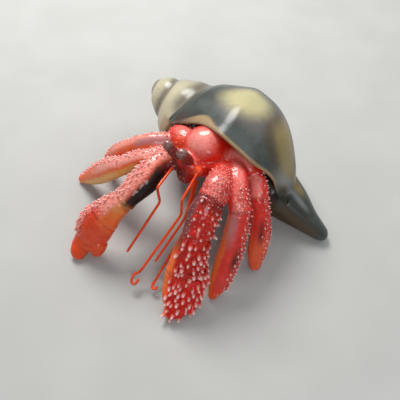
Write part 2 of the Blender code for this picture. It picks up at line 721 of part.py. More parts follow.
def wire_mesh(corners):
    points = bent_route(corners)
    across = Vector((1.0, 0.0, 0.0))
    rings = []
    for index, point in enumerate(points):
        along = (points[min(index + 1, len(points) - 1)] - points[max(index - 1, 0)]).normalized()
        across = (across - along * across.dot(along)).normalized()
        other = along.cross(across)
        rings.append([point + (across * math.cos(turn) + other * math.sin(turn)) * WIRE_RADIUS
                      for turn in (2.0 * math.pi * side / WIRE_SIDES for side in range(WIRE_SIDES))])
    return lofted(rings)


def make_feelers(wire_material, boss_material, clearances):
    for wire, (name, centre, radii) in FEELER_BOSSES.items():
        boss = added(name, ball(centre, radii, SMALL_BALL_SEGMENTS), boss_material)
        cut_by(boss, *clearances, added(f"{wire}_clearance", grown(wire_mesh(FEELERS[wire]), GAP)))
    for name, route in FEELERS.items():
        cut_by(added(name, wire_mesh(route), wire_material), *clearances)


def main():
    for item in list(bpy.data.objects):
        bpy.data.objects.remove(item)
    red = paint("crab_red", FLESH_RED, 0.25)
    orange = paint("crab_orange", FLESH_ORANGE, 0.3)
    dark = paint("crab_maroon", FLESH_DARK, 0.3)
    slate = paint("shell_slate", SHELL_SLATE, 0.25)
    brown = paint("eye_brown", EYE_BROWN, 0.15)
    wire = paint("wire_orange", WIRE_ORANGE, 0.35)
    shell = make_shell(slate)
    body = make_body(red, dark, shell)
    make_left_claw(red, body)
    make_right_claw(orange, body)
    left_claw = limb_clearance("left_claw_clearance", LEFT_CLAW, LEFT_CLAW_JOINTS[1])
    right_claw = limb_clearance("right_claw_clearance", RIGHT_CLAW, RIGHT_CLAW_JOINTS[0])
    left_leg = limb_clearance("left_leg_clearance", LEFT_LEG_ONE, LEFT_LEG_ONE_JOINTS[1])
    right_leg = limb_clearance("right_leg_clearance", RIGHT_LEG_ONE, RIGHT_LEG_ONE_JOINTS[1])
    make_leg("left_leg_1", LEFT_LEG_ONE, LEFT_LEG_ONE_JOINTS, LEFT_EDGE, red, body, [left_claw])
    make_leg("left_leg_2", LEFT_LEG_TWO, LEFT_LEG_TWO_JOINTS, LEFT_EDGE, red, body, [left_claw, left_leg])
    make_leg("right_leg_1", RIGHT_LEG_ONE, RIGHT_LEG_ONE_JOINTS, RIGHT_EDGE, orange, body, [right_claw])
    make_leg("right_leg_2", RIGHT_LEG_TWO, RIGHT_LEG_TWO_JOINTS, RIGHT_EDGE, orange, body,
             [right_claw, right_leg])
    stalks = [make_eye(side, dark, brown, [*body, right_claw]) for side in EYES]
    make_feelers(wire, orange, [*body, *stalks, left_claw, right_claw])


main()
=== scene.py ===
import math
import random

import bmesh
import bpy
import numpy as np
from mathutils import Matrix, Vector, noise
from mathutils.bvhtree import BVHTree
from mathutils.kdtree import KDTree


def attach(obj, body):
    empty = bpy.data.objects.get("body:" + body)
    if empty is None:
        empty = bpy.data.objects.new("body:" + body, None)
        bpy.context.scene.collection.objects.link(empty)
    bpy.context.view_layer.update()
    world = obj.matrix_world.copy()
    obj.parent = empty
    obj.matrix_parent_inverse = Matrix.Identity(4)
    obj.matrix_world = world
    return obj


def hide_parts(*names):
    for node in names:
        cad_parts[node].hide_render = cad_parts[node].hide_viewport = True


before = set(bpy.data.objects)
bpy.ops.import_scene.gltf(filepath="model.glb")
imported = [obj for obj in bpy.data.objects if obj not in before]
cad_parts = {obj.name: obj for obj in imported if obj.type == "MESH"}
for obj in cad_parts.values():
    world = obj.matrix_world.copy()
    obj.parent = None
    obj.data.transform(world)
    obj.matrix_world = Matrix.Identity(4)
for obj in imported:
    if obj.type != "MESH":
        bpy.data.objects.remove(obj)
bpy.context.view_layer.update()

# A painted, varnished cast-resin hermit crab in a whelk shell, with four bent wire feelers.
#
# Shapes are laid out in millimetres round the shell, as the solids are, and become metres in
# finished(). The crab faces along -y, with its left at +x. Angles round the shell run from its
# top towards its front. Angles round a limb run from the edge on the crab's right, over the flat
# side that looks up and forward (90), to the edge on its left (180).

MM = 0.001
MIDDLE = Vector((-15.6, 10.4, 0.0))  # of the layout's floor plan
UP = Vector((0.0, 0.0, 1.0))
WELD = 0.02  # points this close become one
FLOOR_CLEAR = 0.02  # nothing reaches lower than this

# Shell, with the same driving sizes as the solid. Its axis runs from the spire to the canal's tip
SPIRE = Vector((-118.8, 68.6, 71.8))
CANAL = Vector((105.2, 65.5, 4.5))
WHORL_GROWTH = 2.03  # in one turn
LIP_RADIUS = 76.5  # the whorls' scale at the lip, at this angle:
LIP_REFERENCE = 27.0
CONE_START = 12.8  # the cone's point lies this far beyond the rounded spire
CONE_SLOPE = 0.645
SPIRE_ROUND = 15.0
WHORL_OFFSET = 1.78  # the last whorl's widest place, from the cone's point, in its scale
WHORL_SWELLING = 0.975  # and its radius there
WHORL_REACH = (2.20, 0.94)  # its half lengths, towards the spire and towards the canal
WHORL_POWER = 1.89
WHORL_BLEND = 0.05
SUTURE = 0.963  # place of a whorl's edge along the cone, in the whorl's scale
SUTURE_DROP = 0.0024  # the last whorl's edge creeps up the spire before the lip, from this angle on
SUTURE_DROP_START = -40.0
GROOVE_DEPTH = 0.055
GROOVE_WIDTH = (0.13, 0.075)  # on the spire's side and on the other
GROOVES = 3
GROOVE_END = (62.0, 35.0)  # the last whorl's groove fades out at the lip
LIP_NARROWING = 0.23  # the whorl is shorter towards the lip, where it runs into the canal
NARROWING = (-30.0, 60.0)
CANAL_BLEND = (27.0, 24.0)  # where the whorl runs into the canal, away from the lip and at it
CANAL_START = 67.0
CANAL_TAPER = 0.262
CANAL_RADIUS = (6.0, 24.0)  # at its tip and at most
CANAL_FULL = (-64.0, 90.0, 3.5)  # fuller on the far side: at which angle, how far round, how much
CANAL_FULL_FROM = (20.0, 30.0)  # it begins this far back from the tip, over this fade
CANAL_FLAT = (100.0, 50.0, 11.5)  # flatter beside the opening, in the same way
CANAL_TIP = 7.2  # length of its round end
LIP_ANGLE = 29.8
LIP_SHOULDER = (29.0, 47.0, 22.0)  # further round there: degrees, place along the axis, spread
LIP_DIP = (3.5, 156.0, 12.0)  # and less far round here
LIP_CANAL = (0.5, 161.0)  # along the canal it turns on by this much for each millimetre
LIP_LOW_STEP = (1.2, 1.5)  # a step of the lip as low as this is evened out, over this fade
LIP_END = (167.0, 11.0)  # and so is all of it from here on along the axis, over this fade
LIP_EVENED = 14.0  # how far to either side
LIP_FLARE = (1.3, 6.0)  # the lip turns out a little at its edge
LIP_OPEN = (0.5, 4.0)  # the flare and the rim's paint begin where the opening is this high
WALL = 4.0
WALL_SHARE = 0.45  # of the opening's height, where it is low
CAVITY = (53.0, 174.0)  # its first and last place along the axis
CAVITY_DEPTH = 74.0  # how far round it goes in from the lip, and less from this place on:
CAVITY_SHALLOWS = 145.0
CAVITY_END = 10.0  # length over which the opening closes at each end
SHELL_ROWS = 270
SHELL_COLUMNS = 300
CLOSED = 0.3  # walls thinner than this are no walls but one surface
FAR_FROM_LIP = 99.0  # stands for a point with no lip near it
FLOOR_SETBACK = 4.0  # the lip's pale edge stops this much sooner on the hollow's floor
SHELL_INSET = 0.3  # keeps the smooth surface inside the faceted solid

# Limbs: stations from root to tip, each (x, y, z, half width, half thickness)
LIMB_FACING = Vector((0.37, -0.44, 0.82))
LEFT_CLAW = (
    (8.0, 26.0, 72.0, 10.0, 10.0),
    (19.0, 1.0, 83.0, 12.0, 11.5),
    (22.7, -12.9, 79.5, 11.4, 10.5),
    (23.0, -19.6, 76.0, 12.2, 11.0),
    (24.0, -26.5, 70.0, 13.2, 11.0),
    (27.2, -37.1, 60.0, 12.0, 10.0),
    (29.8, -49.6, 46.0, 14.4, 10.8),
    (33.2, -57.2, 34.0, 17.2, 10.8),
    (35.9, -64.4, 22.5, 18.2, 9.6),
    (38.6, -73.7, 13.2, 16.8, 8.2),
    (40.0, -83.0, 6.8, 11.6, 5.8),
    (39.4, -90.9, 3.2, 4.6, 3.4),
)
RIGHT_CLAW = (
    (-32.0, 16.0, 70.0, 9.0, 9.0),
    (-40.2, -6.5, 73.0, 11.2, 10.0),
    (-40.4, -25.7, 69.0, 13.0, 10.5),
    (-43.4, -40.6, 62.0, 11.2, 10.0),
    (-45.7, -48.3, 57.0, 10.2, 9.4),
    (-53.0, -59.9, 48.0, 13.0, 10.0),
    (-60.0, -74.1, 34.0, 17.2, 10.0),
    (-63.0, -83.7, 20.0, 15.8, 8.6),
)
RIGHT_BIG_FINGER = (
    (-66.1, -79.9, 24.8, 9.6, 8.2),
    (-68.6, -91.2, 11.6, 9.4, 6.6),
    (-66.9, -99.0, 6.0, 8.2, 5.2),
    (-64.6, -103.1, 2.7, 4.6, 3.4),
)
RIGHT_SMALL_FINGER = (
    (-52.8, -80.5, 19.5, 7.6, 7.6),
    (-53.0, -86.2, 11.5, 7.2, 6.2),
    (-53.9, -89.4, 7.0, 5.6, 4.8),
    (-54.4, -91.2, 4.6, 3.0, 3.0),
)
RIGHT_LEG_ONE = (
    (-38.0, 16.0, 72.0, 7.0, 7.0),
    (-54.4, -7.3, 71.0, 7.8, 7.4),
    (-65.8, -15.1, 64.0, 8.2, 7.4),
    (-77.6, -22.2, 54.0, 9.0, 7.4),
    (-89.7, -25.7, 44.0, 11.0, 7.8),
    (-106.1, -30.2, 28.0, 11.2, 7.2),
    (-121.2, -33.6, 13.0, 8.4, 5.6),
    (-133.3, -37.8, 2.6, 4.2, 3.6),
)
RIGHT_LEG_TWO = (
    (-40.0, 26.0, 74.0, 7.6, 7.4),
    (-61.7, 4.9, 76.0, 8.4, 7.4),
    (-75.9, -4.2, 68.0, 8.0, 7.2),
    (-96.0, -8.0, 48.0, 8.8, 7.2),
    (-111.1, -8.7, 27.0, 8.0, 6.2),
    (-124.0, -8.4, 1.6, 3.8, 3.8),
)
LEFT_LEG_ONE = (
    (10.0, 38.0, 78.0, 8.6, 8.4),
    (27.2, 18.0, 80.0, 9.2, 8.4),
    (36.5, 6.3, 76.0, 9.6, 8.4),
    (44.2, -0.9, 68.0, 9.4, 8.2),
    (48.5, -10.1, 56.0, 10.0, 8.2),
    (52.4, -20.8, 42.0, 10.8, 8.2),
    (55.4, -33.7, 26.0, 10.2, 7.2),
    (56.9, -44.2, 12.0, 7.8, 5.4),
    (57.2, -51.7, 1.8, 3.8, 3.6),
)
LEFT_LEG_TWO = (
    (20.0, 43.5, 76.0, 7.4, 7.0),
    (40.5, 30.1, 71.0, 8.2, 7.4),
    (46.3, 24.2, 64.0, 8.0, 7.2),
    (53.8, 19.4, 50.0, 8.8, 7.4),
    (60.9, 10.9, 34.0, 9.4, 7.2),
    (65.3, 3.2, 18.0, 8.6, 6.4),
    (69.0, -3.0, 2.4, 5.2, 5.2),
)

# Paints that lie over the red ground, each a mask from 0 to 1 on the skin
PAINTS = ("orange", "tan", "pink", "mauve", "soot", "maroon", "grain")

# Airbrushed patches on each limb, some of them painted highlights: paint, (first station, last
# station, fade), (angle round the limb, half width, fade) and strength
ALL_ROUND = (0.0, 200.0, 1.0)
LEFT_CLAW_PATCHES = (
    ("orange", (5.2, 13.0, 1.4), (-42.0, 88.0, 16.0), 0.95),
    ("maroon", (2.1, 5.9, 1.0), (26.0, 30.0, 44.0), 0.8),
    ("maroon", (2.1, 6.8, 0.8), (120.0, 70.0, 30.0), 0.22),
    # mauve near the carpus's edge on the crab's right: mauve overspray and a painted sheen
    ("mauve", (2.2, 5.0, 0.8), (34.0, 20.0, 26.0), 0.85),
    ("maroon", (2.2, 3.2, 0.6), (120.0, 60.0, 40.0), 0.35),
    ("pink", (0.9, 1.8, 0.5), (78.0, 36.0, 40.0), 0.38),
    ("grain", (0.5, 2.1, 0.4), (84.0, 66.0, 30.0), 0.85),
    ("pink", (0.3, 1.9, 0.4), (120.0, 70.0, 40.0), 0.12),
    ("mauve", (0.9, 1.6, 0.4), (30.0, 12.0, 20.0), 0.5),
    ("maroon", (1.9, 2.5, 0.4), (100.0, 100.0, 30.0), 0.5),
    ("maroon", (6.7, 7.3, 0.4), (122.0, 60.0, 24.0), 0.3),
)
RIGHT_CLAW_PATCHES = (
    ("orange", (0.2, 5.3, 0.6), (84.0, 36.0, 30.0), 0.55),
    ("pink", (0.2, 5.3, 0.6), (48.0, 46.0, 30.0), 0.7),
    ("orange", (3.6, 5.7, 0.7), (150.0, 70.0, 30.0), 0.8),
    ("tan", (3.7, 4.8, 0.9), (116.0, 36.0, 36.0), 0.4),
    ("soot", (1.2, 4.1, 0.9), (152.0, 54.0, 30.0), 1.0),
    ("maroon", (0.2, 1.6, 0.8), (150.0, 50.0, 30.0), 0.8),
    ("orange", (5.6, 9.0, 0.5), ALL_ROUND, 0.3),
    ("pink", (5.3, 8.0, 0.5), (14.0, 30.0, 14.0), 0.7),
    ("grain", (0.2, 7.4, 0.5), (16.0, 44.0, 24.0), 0.8),
    ("orange", (3.8, 9.0, 1.0), (260.0, 50.0, 40.0), 0.8),
)
RIGHT_FINGER_PATCHES = (
    ("orange", (0.0, 4.0, 0.5), ALL_ROUND, 0.38),
)
RIGHT_LEG_ONE_PATCHES = (
    ("orange", (0.4, 9.0, 1.0), (112.0, 70.0, 40.0), 0.8),
    ("tan", (1.6, 6.5, 0.9), (178.0, 62.0, 26.0), 0.95),
    ("pink", (0.2, 4.9, 1.2), (48.0, 46.0, 26.0), 0.85),
    ("pink", (4.9, 6.6, 0.8), (30.0, 26.0, 20.0), 0.6),
    ("grain", (0.2, 6.6, 0.6), (14.0, 42.0, 26.0), 0.8),
)
RIGHT_LEG_TWO_PATCHES = (
    ("orange", (0.8, 7.0, 1.0), (105.0, 90.0, 40.0), 0.7),
    # a painted highlight: greyish pink on the upper joint's face
    ("mauve", (0.3, 1.7, 0.5), (86.0, 26.0, 22.0), 0.75),
    ("pink", (0.2, 3.2, 0.8), (40.0, 40.0, 26.0), 0.7),
    ("grain", (0.2, 4.4, 0.6), (10.0, 40.0, 26.0), 0.8),
)
LEFT_LEG_ONE_PATCHES = (
    ("orange", (3.1, 9.0, 0.6), (2.0, 56.0, 26.0), 0.9),
    # pink on the upper joint's face: pinkish paint and a painted highlight
    ("pink", (0.4, 2.9, 0.6), (92.0, 30.0, 32.0), 0.34),
    ("grain", (1.2, 2.9, 0.5), (100.0, 50.0, 30.0), 0.5),
    # a painted highlight: mauve glints on the face of the middle joints
    ("mauve", (2.9, 4.6, 1.2), (64.0, 24.0, 40.0), 0.75),
    ("soot", (4.9, 5.8, 0.9), (124.0, 18.0, 28.0), 0.85),
    ("grain", (3.0, 7.4, 0.6), (158.0, 30.0, 24.0), 0.6),
    ("orange", (7.2, 9.0, 0.8), ALL_ROUND, 0.4),
    ("pink", (0.3, 7.0, 0.5), (90.0, 60.0, 40.0), 0.06),
)
LEFT_LEG_TWO_PATCHES = (
    ("orange", (4.0, 7.0, 1.2), (60.0, 90.0, 40.0), 0.45),
    ("pink", (0.3, 7.0, 0.5), (80.0, 70.0, 40.0), 0.06),
    ("pink", (0.3, 1.8, 0.5), (70.0, 34.0, 30.0), 0.5),
    ("soot", (3.3, 4.2, 0.9), (92.0, 16.0, 30.0), 0.75),
    ("grain", (2.0, 5.4, 0.5), (150.0, 36.0, 24.0), 0.6),
)

# Body: middle and half sizes of each rounded form
THORAX_LUMPS = (
    ((-15.0, 28.5, 73.5), (27.0, 24.0, 16.5)),
    ((-19.0, 8.2, 75.0), (15.5, 13.0, 13.0)),
    ((12.0, 38.0, 75.0), (26.0, 15.0, 14.0)),
    ((-36.5, 26.0, 77.0), (22.0, 15.0, 11.5)),
)
CARAPACE = ((-15.9, 30.0, 81.0), (21.3, 21.3, 18.6))
MOUTH = ((-16.8, -1.4, 69.0), (8.0, 6.2, 8.6))
FINGER_WEB = ((-60.5, -87.5, 13.0), (8.0, 7.5, 7.5))  # the right claw's fingers are cast as one
LEFT_BOSS = ((-6.0, 4.6, 79.0), (5.0, 4.4, 4.4))
RIGHT_BOSS = ((-27.4, -3.6, 76.5), (4.2, 4.0, 4.0))

# Patches on the body, some partly painted highlights: paint, middle, radius, fade and strength
BODY_PATCHES = (
    ("orange", FINGER_WEB[0], 14.0, 4.0, 0.38),
    # pink on the dome's top: pink overspray and a painted highlight
    ("pink", (-18.0, 20.0, 98.0), 13.0, 17.0, 0.72),
    ("pink", (-42.0, 27.0, 88.0), 9.0, 9.0, 0.35),
    ("grain", (-42.0, 24.0, 84.0), 15.0, 8.0, 0.35),
    ("orange", (-34.0, 14.0, 84.0), 12.0, 10.0, 0.2),
    ("orange", LEFT_BOSS[0], 4.6, 4.0, 0.55),
    ("maroon", RIGHT_BOSS[0], 6.0, 4.0, 0.8),
    ("maroon", (-17.5, 1.0, 77.0), 8.0, 8.0, 0.75),
    ("maroon", (-21.0, -5.0, 66.0), 13.0, 7.0, 0.8),
    # a painted sheen: pink on the smooth skin at the left first leg's root
    ("pink", (18.0, 30.0, 87.0), 12.0, 10.0, 0.6),
)

# Eyes: middle of the bulge, root of the stalk, radius
EYES = {
    "right": (Vector((-36.3, 0.3, 93.5)), Vector((-23.2, 4.2, 75.2)), 4.9),
    "left": (Vector((-20.3, 0.4, 94.0)), Vector((-12.0, 8.2, 75.0)), 5.2),
}
EYE_SEAM = 0.35  # the stalk's end lies this far below the bulge's middle, in radii
EYE_FILL = 0.985  # keeps the bulge inside the solid one
EYE_LIFT = -52.0  # the bulge starts this many degrees below its middle, hidden in the stalk
EYE_FOOT = 0.08  # share of the bulge over which it opens out from its closed foot
STALK_END = 0.05  # share of the stalk over which it is rounded off at each end
STALK_WAIST = ((-0.08, 2.2, 0.0), (0.04, 6.0, 0.86))  # swelling, how soon and from where
STALK_COLLAR = (0.05, 0.80, 0.03)  # swelling, its middle and spread
STALK_RIPPLE_TURN = 6.28  # in radians; what it lacks of a full turn is far less than the weld

# Wire feelers, with the same routes as the solids: the node each replaces and its corners
WIRE_RADIUS = 1.25
WIRE_INSET = 0.05  # keeps the round wire inside the solid one
WIRE_SIDES = 12
WIRE_ROW = 0.8
WIRE_TIP = 1.6  # lengths over which its ends are rounded off
WIRE_ROOT = 0.5
WIRE_BEND = 3.4  # length of each corner's bend, to either side, but at most this share of a run:
WIRE_BEND_SHARE = 0.42
WIRE_BEND_STEPS = 7
FEELERS = {
    "right_feeler": ("antenna_right", (
        (-26.8, -3.0, 77.5),
        (-20.5, -32.1, 79.0),
        (-18.8, -32.2, 60.0),
        (-29.0, -71.5, 12.0),
    )),
    "left_feeler": ("antenna_left", (
        (-5.6, 7.0, 80.5),
        (1.9, -25.8, 75.0),
        (3.0, -29.2, 57.0),
        (-3.6, -79.6, 16.5),
        (-7.6, -84.5, 14.0),
        (-5.2, -90.6, 10.5),
        (-0.6, -90.2, 10.5),
        (-1.2, -83.6, 12.6),
    )),
    "lower_left_feeler": ("antennule_left", (
        (-9.6, 6.0, 72.0),
        (4.0, -21.1, 58.0),
        (4.6, -27.5, 49.0),
        (-1.0, -63.0, 14.0),
    )),
    "lower_right_feeler": ("antennule_right", (
        (-7.5, 4.8, 64.0),
        (8.7, -29.7, 42.0),
        (10.1, -75.3, 9.0),
        (10.6, -81.0, 7.4),
        (15.0, -81.2, 7.2),
        (15.4, -77.2, 8.2),
    )),
}


# Small helpers

def smooth_step(share):
    share = min(max(share, 0.0), 1.0)
    return share * share * (3.0 - 2.0 * share)


def between(value, low, high, fade):
    """One from low to high, falling to zero over the fade at both ends."""
    return smooth_step((value - low) / fade + 0.5) * smooth_step((high - value) / fade + 0.5)


def rounding(share):
    """Zero at a round end, rising like a quarter circle to one where the share reaches one."""
    return math.sqrt(max(1.0 - (1.0 - min(share, 1.0)) ** 2, 0.0))


def smooth_max(first, second, blend):
    share = min(max(0.5 + 0.5 * (first - second) / blend, 0.0), 1.0)
    return second + (first - second) * share + blend * share * (1.0 - share)


def over(under, layer):
    """Strength of a paint where one coat of it lies over another."""
    return 1.0 - (1.0 - under) * (1.0 - layer)


def paint_layers(mesh, names):
    return {name: mesh.verts.layers.float.get(name) or mesh.verts.layers.float.new(name)
            for name in names}


def wrapped(columns, rows, place, paints):
    """A closed surface from a grid whose columns go once round and whose rows run from end to end.

    place gives each point of the unit square its position and its paints."""
    mesh = bmesh.new()
    bmesh.ops.create_grid(mesh, x_segments=columns, y_segments=rows, size=0.5)
    layers = paint_layers(mesh, paints)
    for vert in mesh.verts:
        vert.co, masks = place(vert.co.x + 0.5, vert.co.y + 0.5)
        for name, value in masks.items():
            vert[layers[name]] = value
    bmesh.ops.remove_doubles(mesh, verts=mesh.verts[:], dist=WELD)
    bmesh.ops.recalc_face_normals(mesh, faces=mesh.faces[:])
    return mesh


def appended(whole, part):
    """Adds a mesh, with its paints, to another."""
    data = bpy.data.meshes.new("part")
    part.to_mesh(data)
    part.free()
    whole.from_mesh(data)
    bpy.data.meshes.remove(data)


def finished(name, mesh, material, replaced=()):
    """Takes a mesh from the layout's millimetres to its place in metres and makes it a piece."""
    bmesh.ops.translate(mesh, verts=mesh.verts[:], vec=-MIDDLE)
    bmesh.ops.scale(mesh, verts=mesh.verts[:], vec=(MM, MM, MM))
    data = bpy.data.meshes.new(name)
    mesh.to_mesh(data)
    mesh.free()
    data.shade_smooth()
    data.materials.append(material)
    item = bpy.data.objects.new(name, data)
    bpy.context.scene.collection.objects.link(item)
    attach(item, "root")
    if replaced:
        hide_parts(*replaced)


# Shell

AXIS = (CANAL - SPIRE).normalized()
AXIS_LENGTH = (CANAL - SPIRE).length
TOPWARD = (UP - AXIS * AXIS.z).normalized()
FRONTWARD = AXIS.cross(TOPWARD)
SHELL_PAINTS = ("cream", "tan", "halo", "groove", "rim", "inside", "canal_sheen", "spire", "olive",
                "brown")

# Shares of the shell's section that its outside, the hollow's floor and its roof end at
OUTSIDE_END = 0.76
FLOOR_END = 0.86
ROOF_END = 0.95


def whorl_scale(angle):
    return LIP_RADIUS * WHORL_GROWTH ** ((angle - LIP_REFERENCE) / 360.0)


def suture(angle, turn=0):
    """Where a whorl's edge lies along the axis at an angle, for the last whorl or one before it."""
    place = SUTURE - SUTURE_DROP * max(angle - 360.0 * turn - SUTURE_DROP_START, 0.0)
    return place * whorl_scale(angle - 360.0 * turn) - CONE_START


def groove(along, angle):
    """Depth of the grooves between whorls: a gentle fall from the spire's side and a steep rise."""
    depth = 0.0
    for turn in range(GROOVES):
        edge = suture(angle, turn)
        size = edge + CONE_START
        width = GROOVE_WIDTH[0] if along < edge else GROOVE_WIDTH[1]
        fade = smooth_step((GROOVE_END[0] - angle + 360.0 * turn) / GROOVE_END[1])
        depth += fade * GROOVE_DEPTH * size * math.exp(-((along - edge) / (width * size)) ** 2)
    return depth


def round_about(angle, centre, half):
    """One at an angle, falling to zero that many degrees to either side."""
    off = abs((angle - centre + 180.0) % 360.0 - 180.0)
    return smooth_step(1.0 - off / half)


def towards_lip(angle):
    return smooth_step((angle - NARROWING[0]) / NARROWING[1])


def whorl_radius(along, angle):
    """The cone of the spire, running into the swelling of the last whorl."""
    scale = whorl_scale(angle)
    place = (along + CONE_START) / scale - WHORL_OFFSET
    reach = WHORL_REACH[0] if place < 0.0 else WHORL_REACH[1] - LIP_NARROWING * towards_lip(angle)
    inside = 1.0 - abs(place / reach) ** WHORL_POWER
    swelling = WHORL_SWELLING * scale * (inside ** (1.0 / WHORL_POWER) if inside > 0.0 else inside)
    cone = CONE_SLOPE * (along + CONE_START)
    return -smooth_max(-swelling, -cone, WHORL_BLEND * scale) - groove(along, angle)


def canal_radius(along, angle):
    if along <= CANAL_START:
        return 0.0
    back = AXIS_LENGTH - along
    centre, half, flat = CANAL_FLAT
    most = CANAL_RADIUS[1] - flat * round_about(angle, centre, half)
    taper = min(CANAL_RADIUS[0] + CANAL_TAPER * back, most)
    centre, half, full = CANAL_FULL
    start, length = CANAL_FULL_FROM
    taper += full * round_about(angle, centre, half) * smooth_step((back - start) / length)
    return taper * rounding(back / CANAL_TIP)


def shell_radius(along, angle):
    blend = CANAL_BLEND[0] + (CANAL_BLEND[1] - CANAL_BLEND[0]) * towards_lip(angle)
    radius = smooth_max(whorl_radius(along, angle), canal_radius(along, angle), blend)
    return max(radius * rounding(along / SPIRE_ROUND) - SHELL_INSET, 0.0)


def lip_angle(along):
    extra, centre, spread = LIP_SHOULDER
    slope, start = LIP_CANAL
    shoulder = extra * math.exp(-((along - centre) / spread) ** 2)
    back, place, width = LIP_DIP
    dip = back * math.exp(-((along - place) / width) ** 2)
    return LIP_ANGLE + shoulder - dip + slope * max(along - start, 0.0)


def shell_point(along, angle, radius):
    turn = math.radians(angle)
    return SPIRE + AXIS * along + (TOPWARD * math.cos(turn) + FRONTWARD * math.sin(turn)) * radius


# Airbrushed patches on the outside of the shell, and painted highlights. Round ones: middle
# (along the axis, angle), radius, fade and strength
WHORL_ARC = 1.3  # millimetres to a degree, out on the last whorl
CREAM_SPOTS = (
    # the first, on the last whorl's top, is cream paint and a painted highlight
    ((94.5, -9.0), 21.5, 21.0, 1.0),
    ((92.0, -118.0), 14.0, 22.0, 1.0),
    ((84.0, 150.0), 12.0, 22.0, 0.8),
)
HALO = ((98.5, -8.5), 31.0, 14.0, 1.0)  # of brown round the first of them

# Long ones: (first and last place along the axis, fade), (first and last angle, fade)
FLANK_TAN = ((130.0, 171.0, 18.0), (-16.0, 12.0, 14.0))
FLANK_BROWN = ((122.0, 176.0, 18.0), (-22.0, 22.0, 14.0))
FLANK_MIDDLE = (-5.0, 148.0, 0.45)  # the angle they lie about at a place, and its change along
FAR_TAN = ((118.0, 170.0, 20.0), (-124.0, -100.0, 18.0))
CANAL_TAN = ((166.0, 188.0, 12.0), (-34.0, -8.0, 16.0))
# a painted highlight along the canal's top
CANAL_SHEEN = ((160.0, 200.0, 16.0), (-7.0, 8.0, 16.0))
SHEEN_MIDDLE = (16.0, 176.0, 14.0)  # the angle it lies about, until it swings up to the top
CANAL_EDGE = ((104.0, 260.0, 20.0), (-98.0, -32.0, 16.0))
CANAL_CORE = ((174.0, 260.0, 14.0), (22.0, 46.0, 20.0))
CANAL_UNDER = ((162.0, 224.0, 12.0), (46.0, 160.0, 24.0))
OPENING_WALL = ((54.0, 168.0, 8.0), (LIP_ANGLE + 8.0, 150.0, 30.0))
SPIRE_CORNER = ((40.0, 57.0, 4.0), (60.0, 120.0, 10.0))  # of the opening

SPIRE_FADES = (1.6, 9.0)  # at the last whorl's edge, and below it
SPIRE_NEAR = (17.0, 13.0, 50.0, 40.0)  # shade on the spire close to the last whorl's edge
SPIRE_TOP = (-54.0, 36.0)  # and high on its far side: angle and spread
RIM_BAND = (3.0, 7.5, 75.0, 14.0)  # width of the lip's pale edge, and how much wider near the spire
RIM_THINNING = (0.7, 100.0, 60.0)  # it loses this much from here on along the axis, over this fade
RIM_END = (172.0, 14.0)
RIM_INSIDE = (2.6, 2.2)  # how far it runs into the opening, and its fade
HOLLOW_START = (1.6, 2.4)  # how far in the dark paint begins, and its fade


def spot(along, angle, centre, radius, fade, strength):
    far = math.hypot(along - centre[0], (angle - centre[1]) * WHORL_ARC)
    return strength * smooth_step((radius + 0.5 * fade - far) / fade)


def field(along, angle, reach, turn, middle=0.0):
    start, end, fade = reach
    low, high, soft = turn
    return between(along, start, end, fade) * between(angle, middle + low, middle + high, soft)


def spire_limit(angle):
    """Where the pale spire ends along the axis: at the last whorl's edge, and softly below."""
    if angle <= LIP_ANGLE:
        return suture(angle)
    top, foot = suture(LIP_ANGLE), suture(-180.0)
    return top + (foot - top) * (angle - LIP_ANGLE) / (180.0 - LIP_ANGLE)


def outside_paints(along, angle, back):
    """Paint on the outside of the shell; back is the distance from the lip's edge."""
    direction = (angle + 180.0) % 360.0 - 180.0
    on_last_whorl = angle > -180.0
    past = along - (suture(angle) if on_last_whorl else spire_limit(direction))
    spire = smooth_step(0.5 - past / (SPIRE_FADES[0] if on_last_whorl else SPIRE_FADES[1]))
    body = 1.0 - spire
    sunken = min(1.3 * groove(along, direction) / (GROOVE_DEPTH * (along + CONE_START)), 1.0)
    reach, fade, high, soft = SPIRE_NEAR
    near = smooth_step((past + reach) / fade) * smooth_step((high - direction) / soft)
    centre, spread = SPIRE_TOP
    on_top = math.exp(-((direction - centre) / spread) ** 2)
    cream = max(spot(along, direction, *patch) for patch in CREAM_SPOTS)
    start, place, slope = FLANK_MIDDLE
    middle = start + slope * (along - place)
    tan = max(field(along, direction, *FLANK_TAN, middle), field(along, direction, *FAR_TAN),
              0.8 * field(along, direction, *CANAL_TAN))
    flank = field(along, direction, *FLANK_BROWN, middle)
    halo = spot(along, direction, *HALO) * (1.0 - cream)
    # the painted highlight along the canal
    height, end, fade = SHEEN_MIDDLE
    middle = height * smooth_step((end - along) / fade)
    canal_sheen = 0.9 * field(along, direction, *CANAL_SHEEN, middle)
    edge = field(along, direction, *CANAL_EDGE)
    core = field(along, direction, *CANAL_CORE)
    under = field(along, direction, *CANAL_UNDER)
    band, more, centre, spread = RIM_BAND
    less, start, fade = RIM_THINNING
    band += more * math.exp(-((along - centre) / spread) ** 2)
    band -= less * smooth_step((along - start) / fade)
    rim = smooth_step((band - back) / 2.0 + 0.5)
    rim *= smooth_step((RIM_END[0] - along) / RIM_END[1])
    shade = over(over(0.85 * sunken, 0.75 * on_top), 0.75 * near)
    return {
        "cream": body * cream,
        "tan": body * tan,
        "halo": body * halo,
        "spire": spire,
        "groove": spire * shade + 0.25 * body * sunken,
        "rim": max(rim, 0.9 * field(along, direction, *SPIRE_CORNER)),
        "canal_sheen": body * canal_sheen,
        "inside": field(along, direction, *OPENING_WALL),
        "olive": body * over(0.85 * edge, 0.9 * core),
        "brown": body * over(0.9 * under, 0.75 * flank),
    }


def inside_paints(back):
    """Paint in the opening: the lip's pale edge runs a little way in."""
    return {"rim": smooth_step((RIM_INSIDE[0] - back) / RIM_INSIDE[1]),
            "inside": smooth_step((back - HOLLOW_START[0]) / HOLLOW_START[1])}


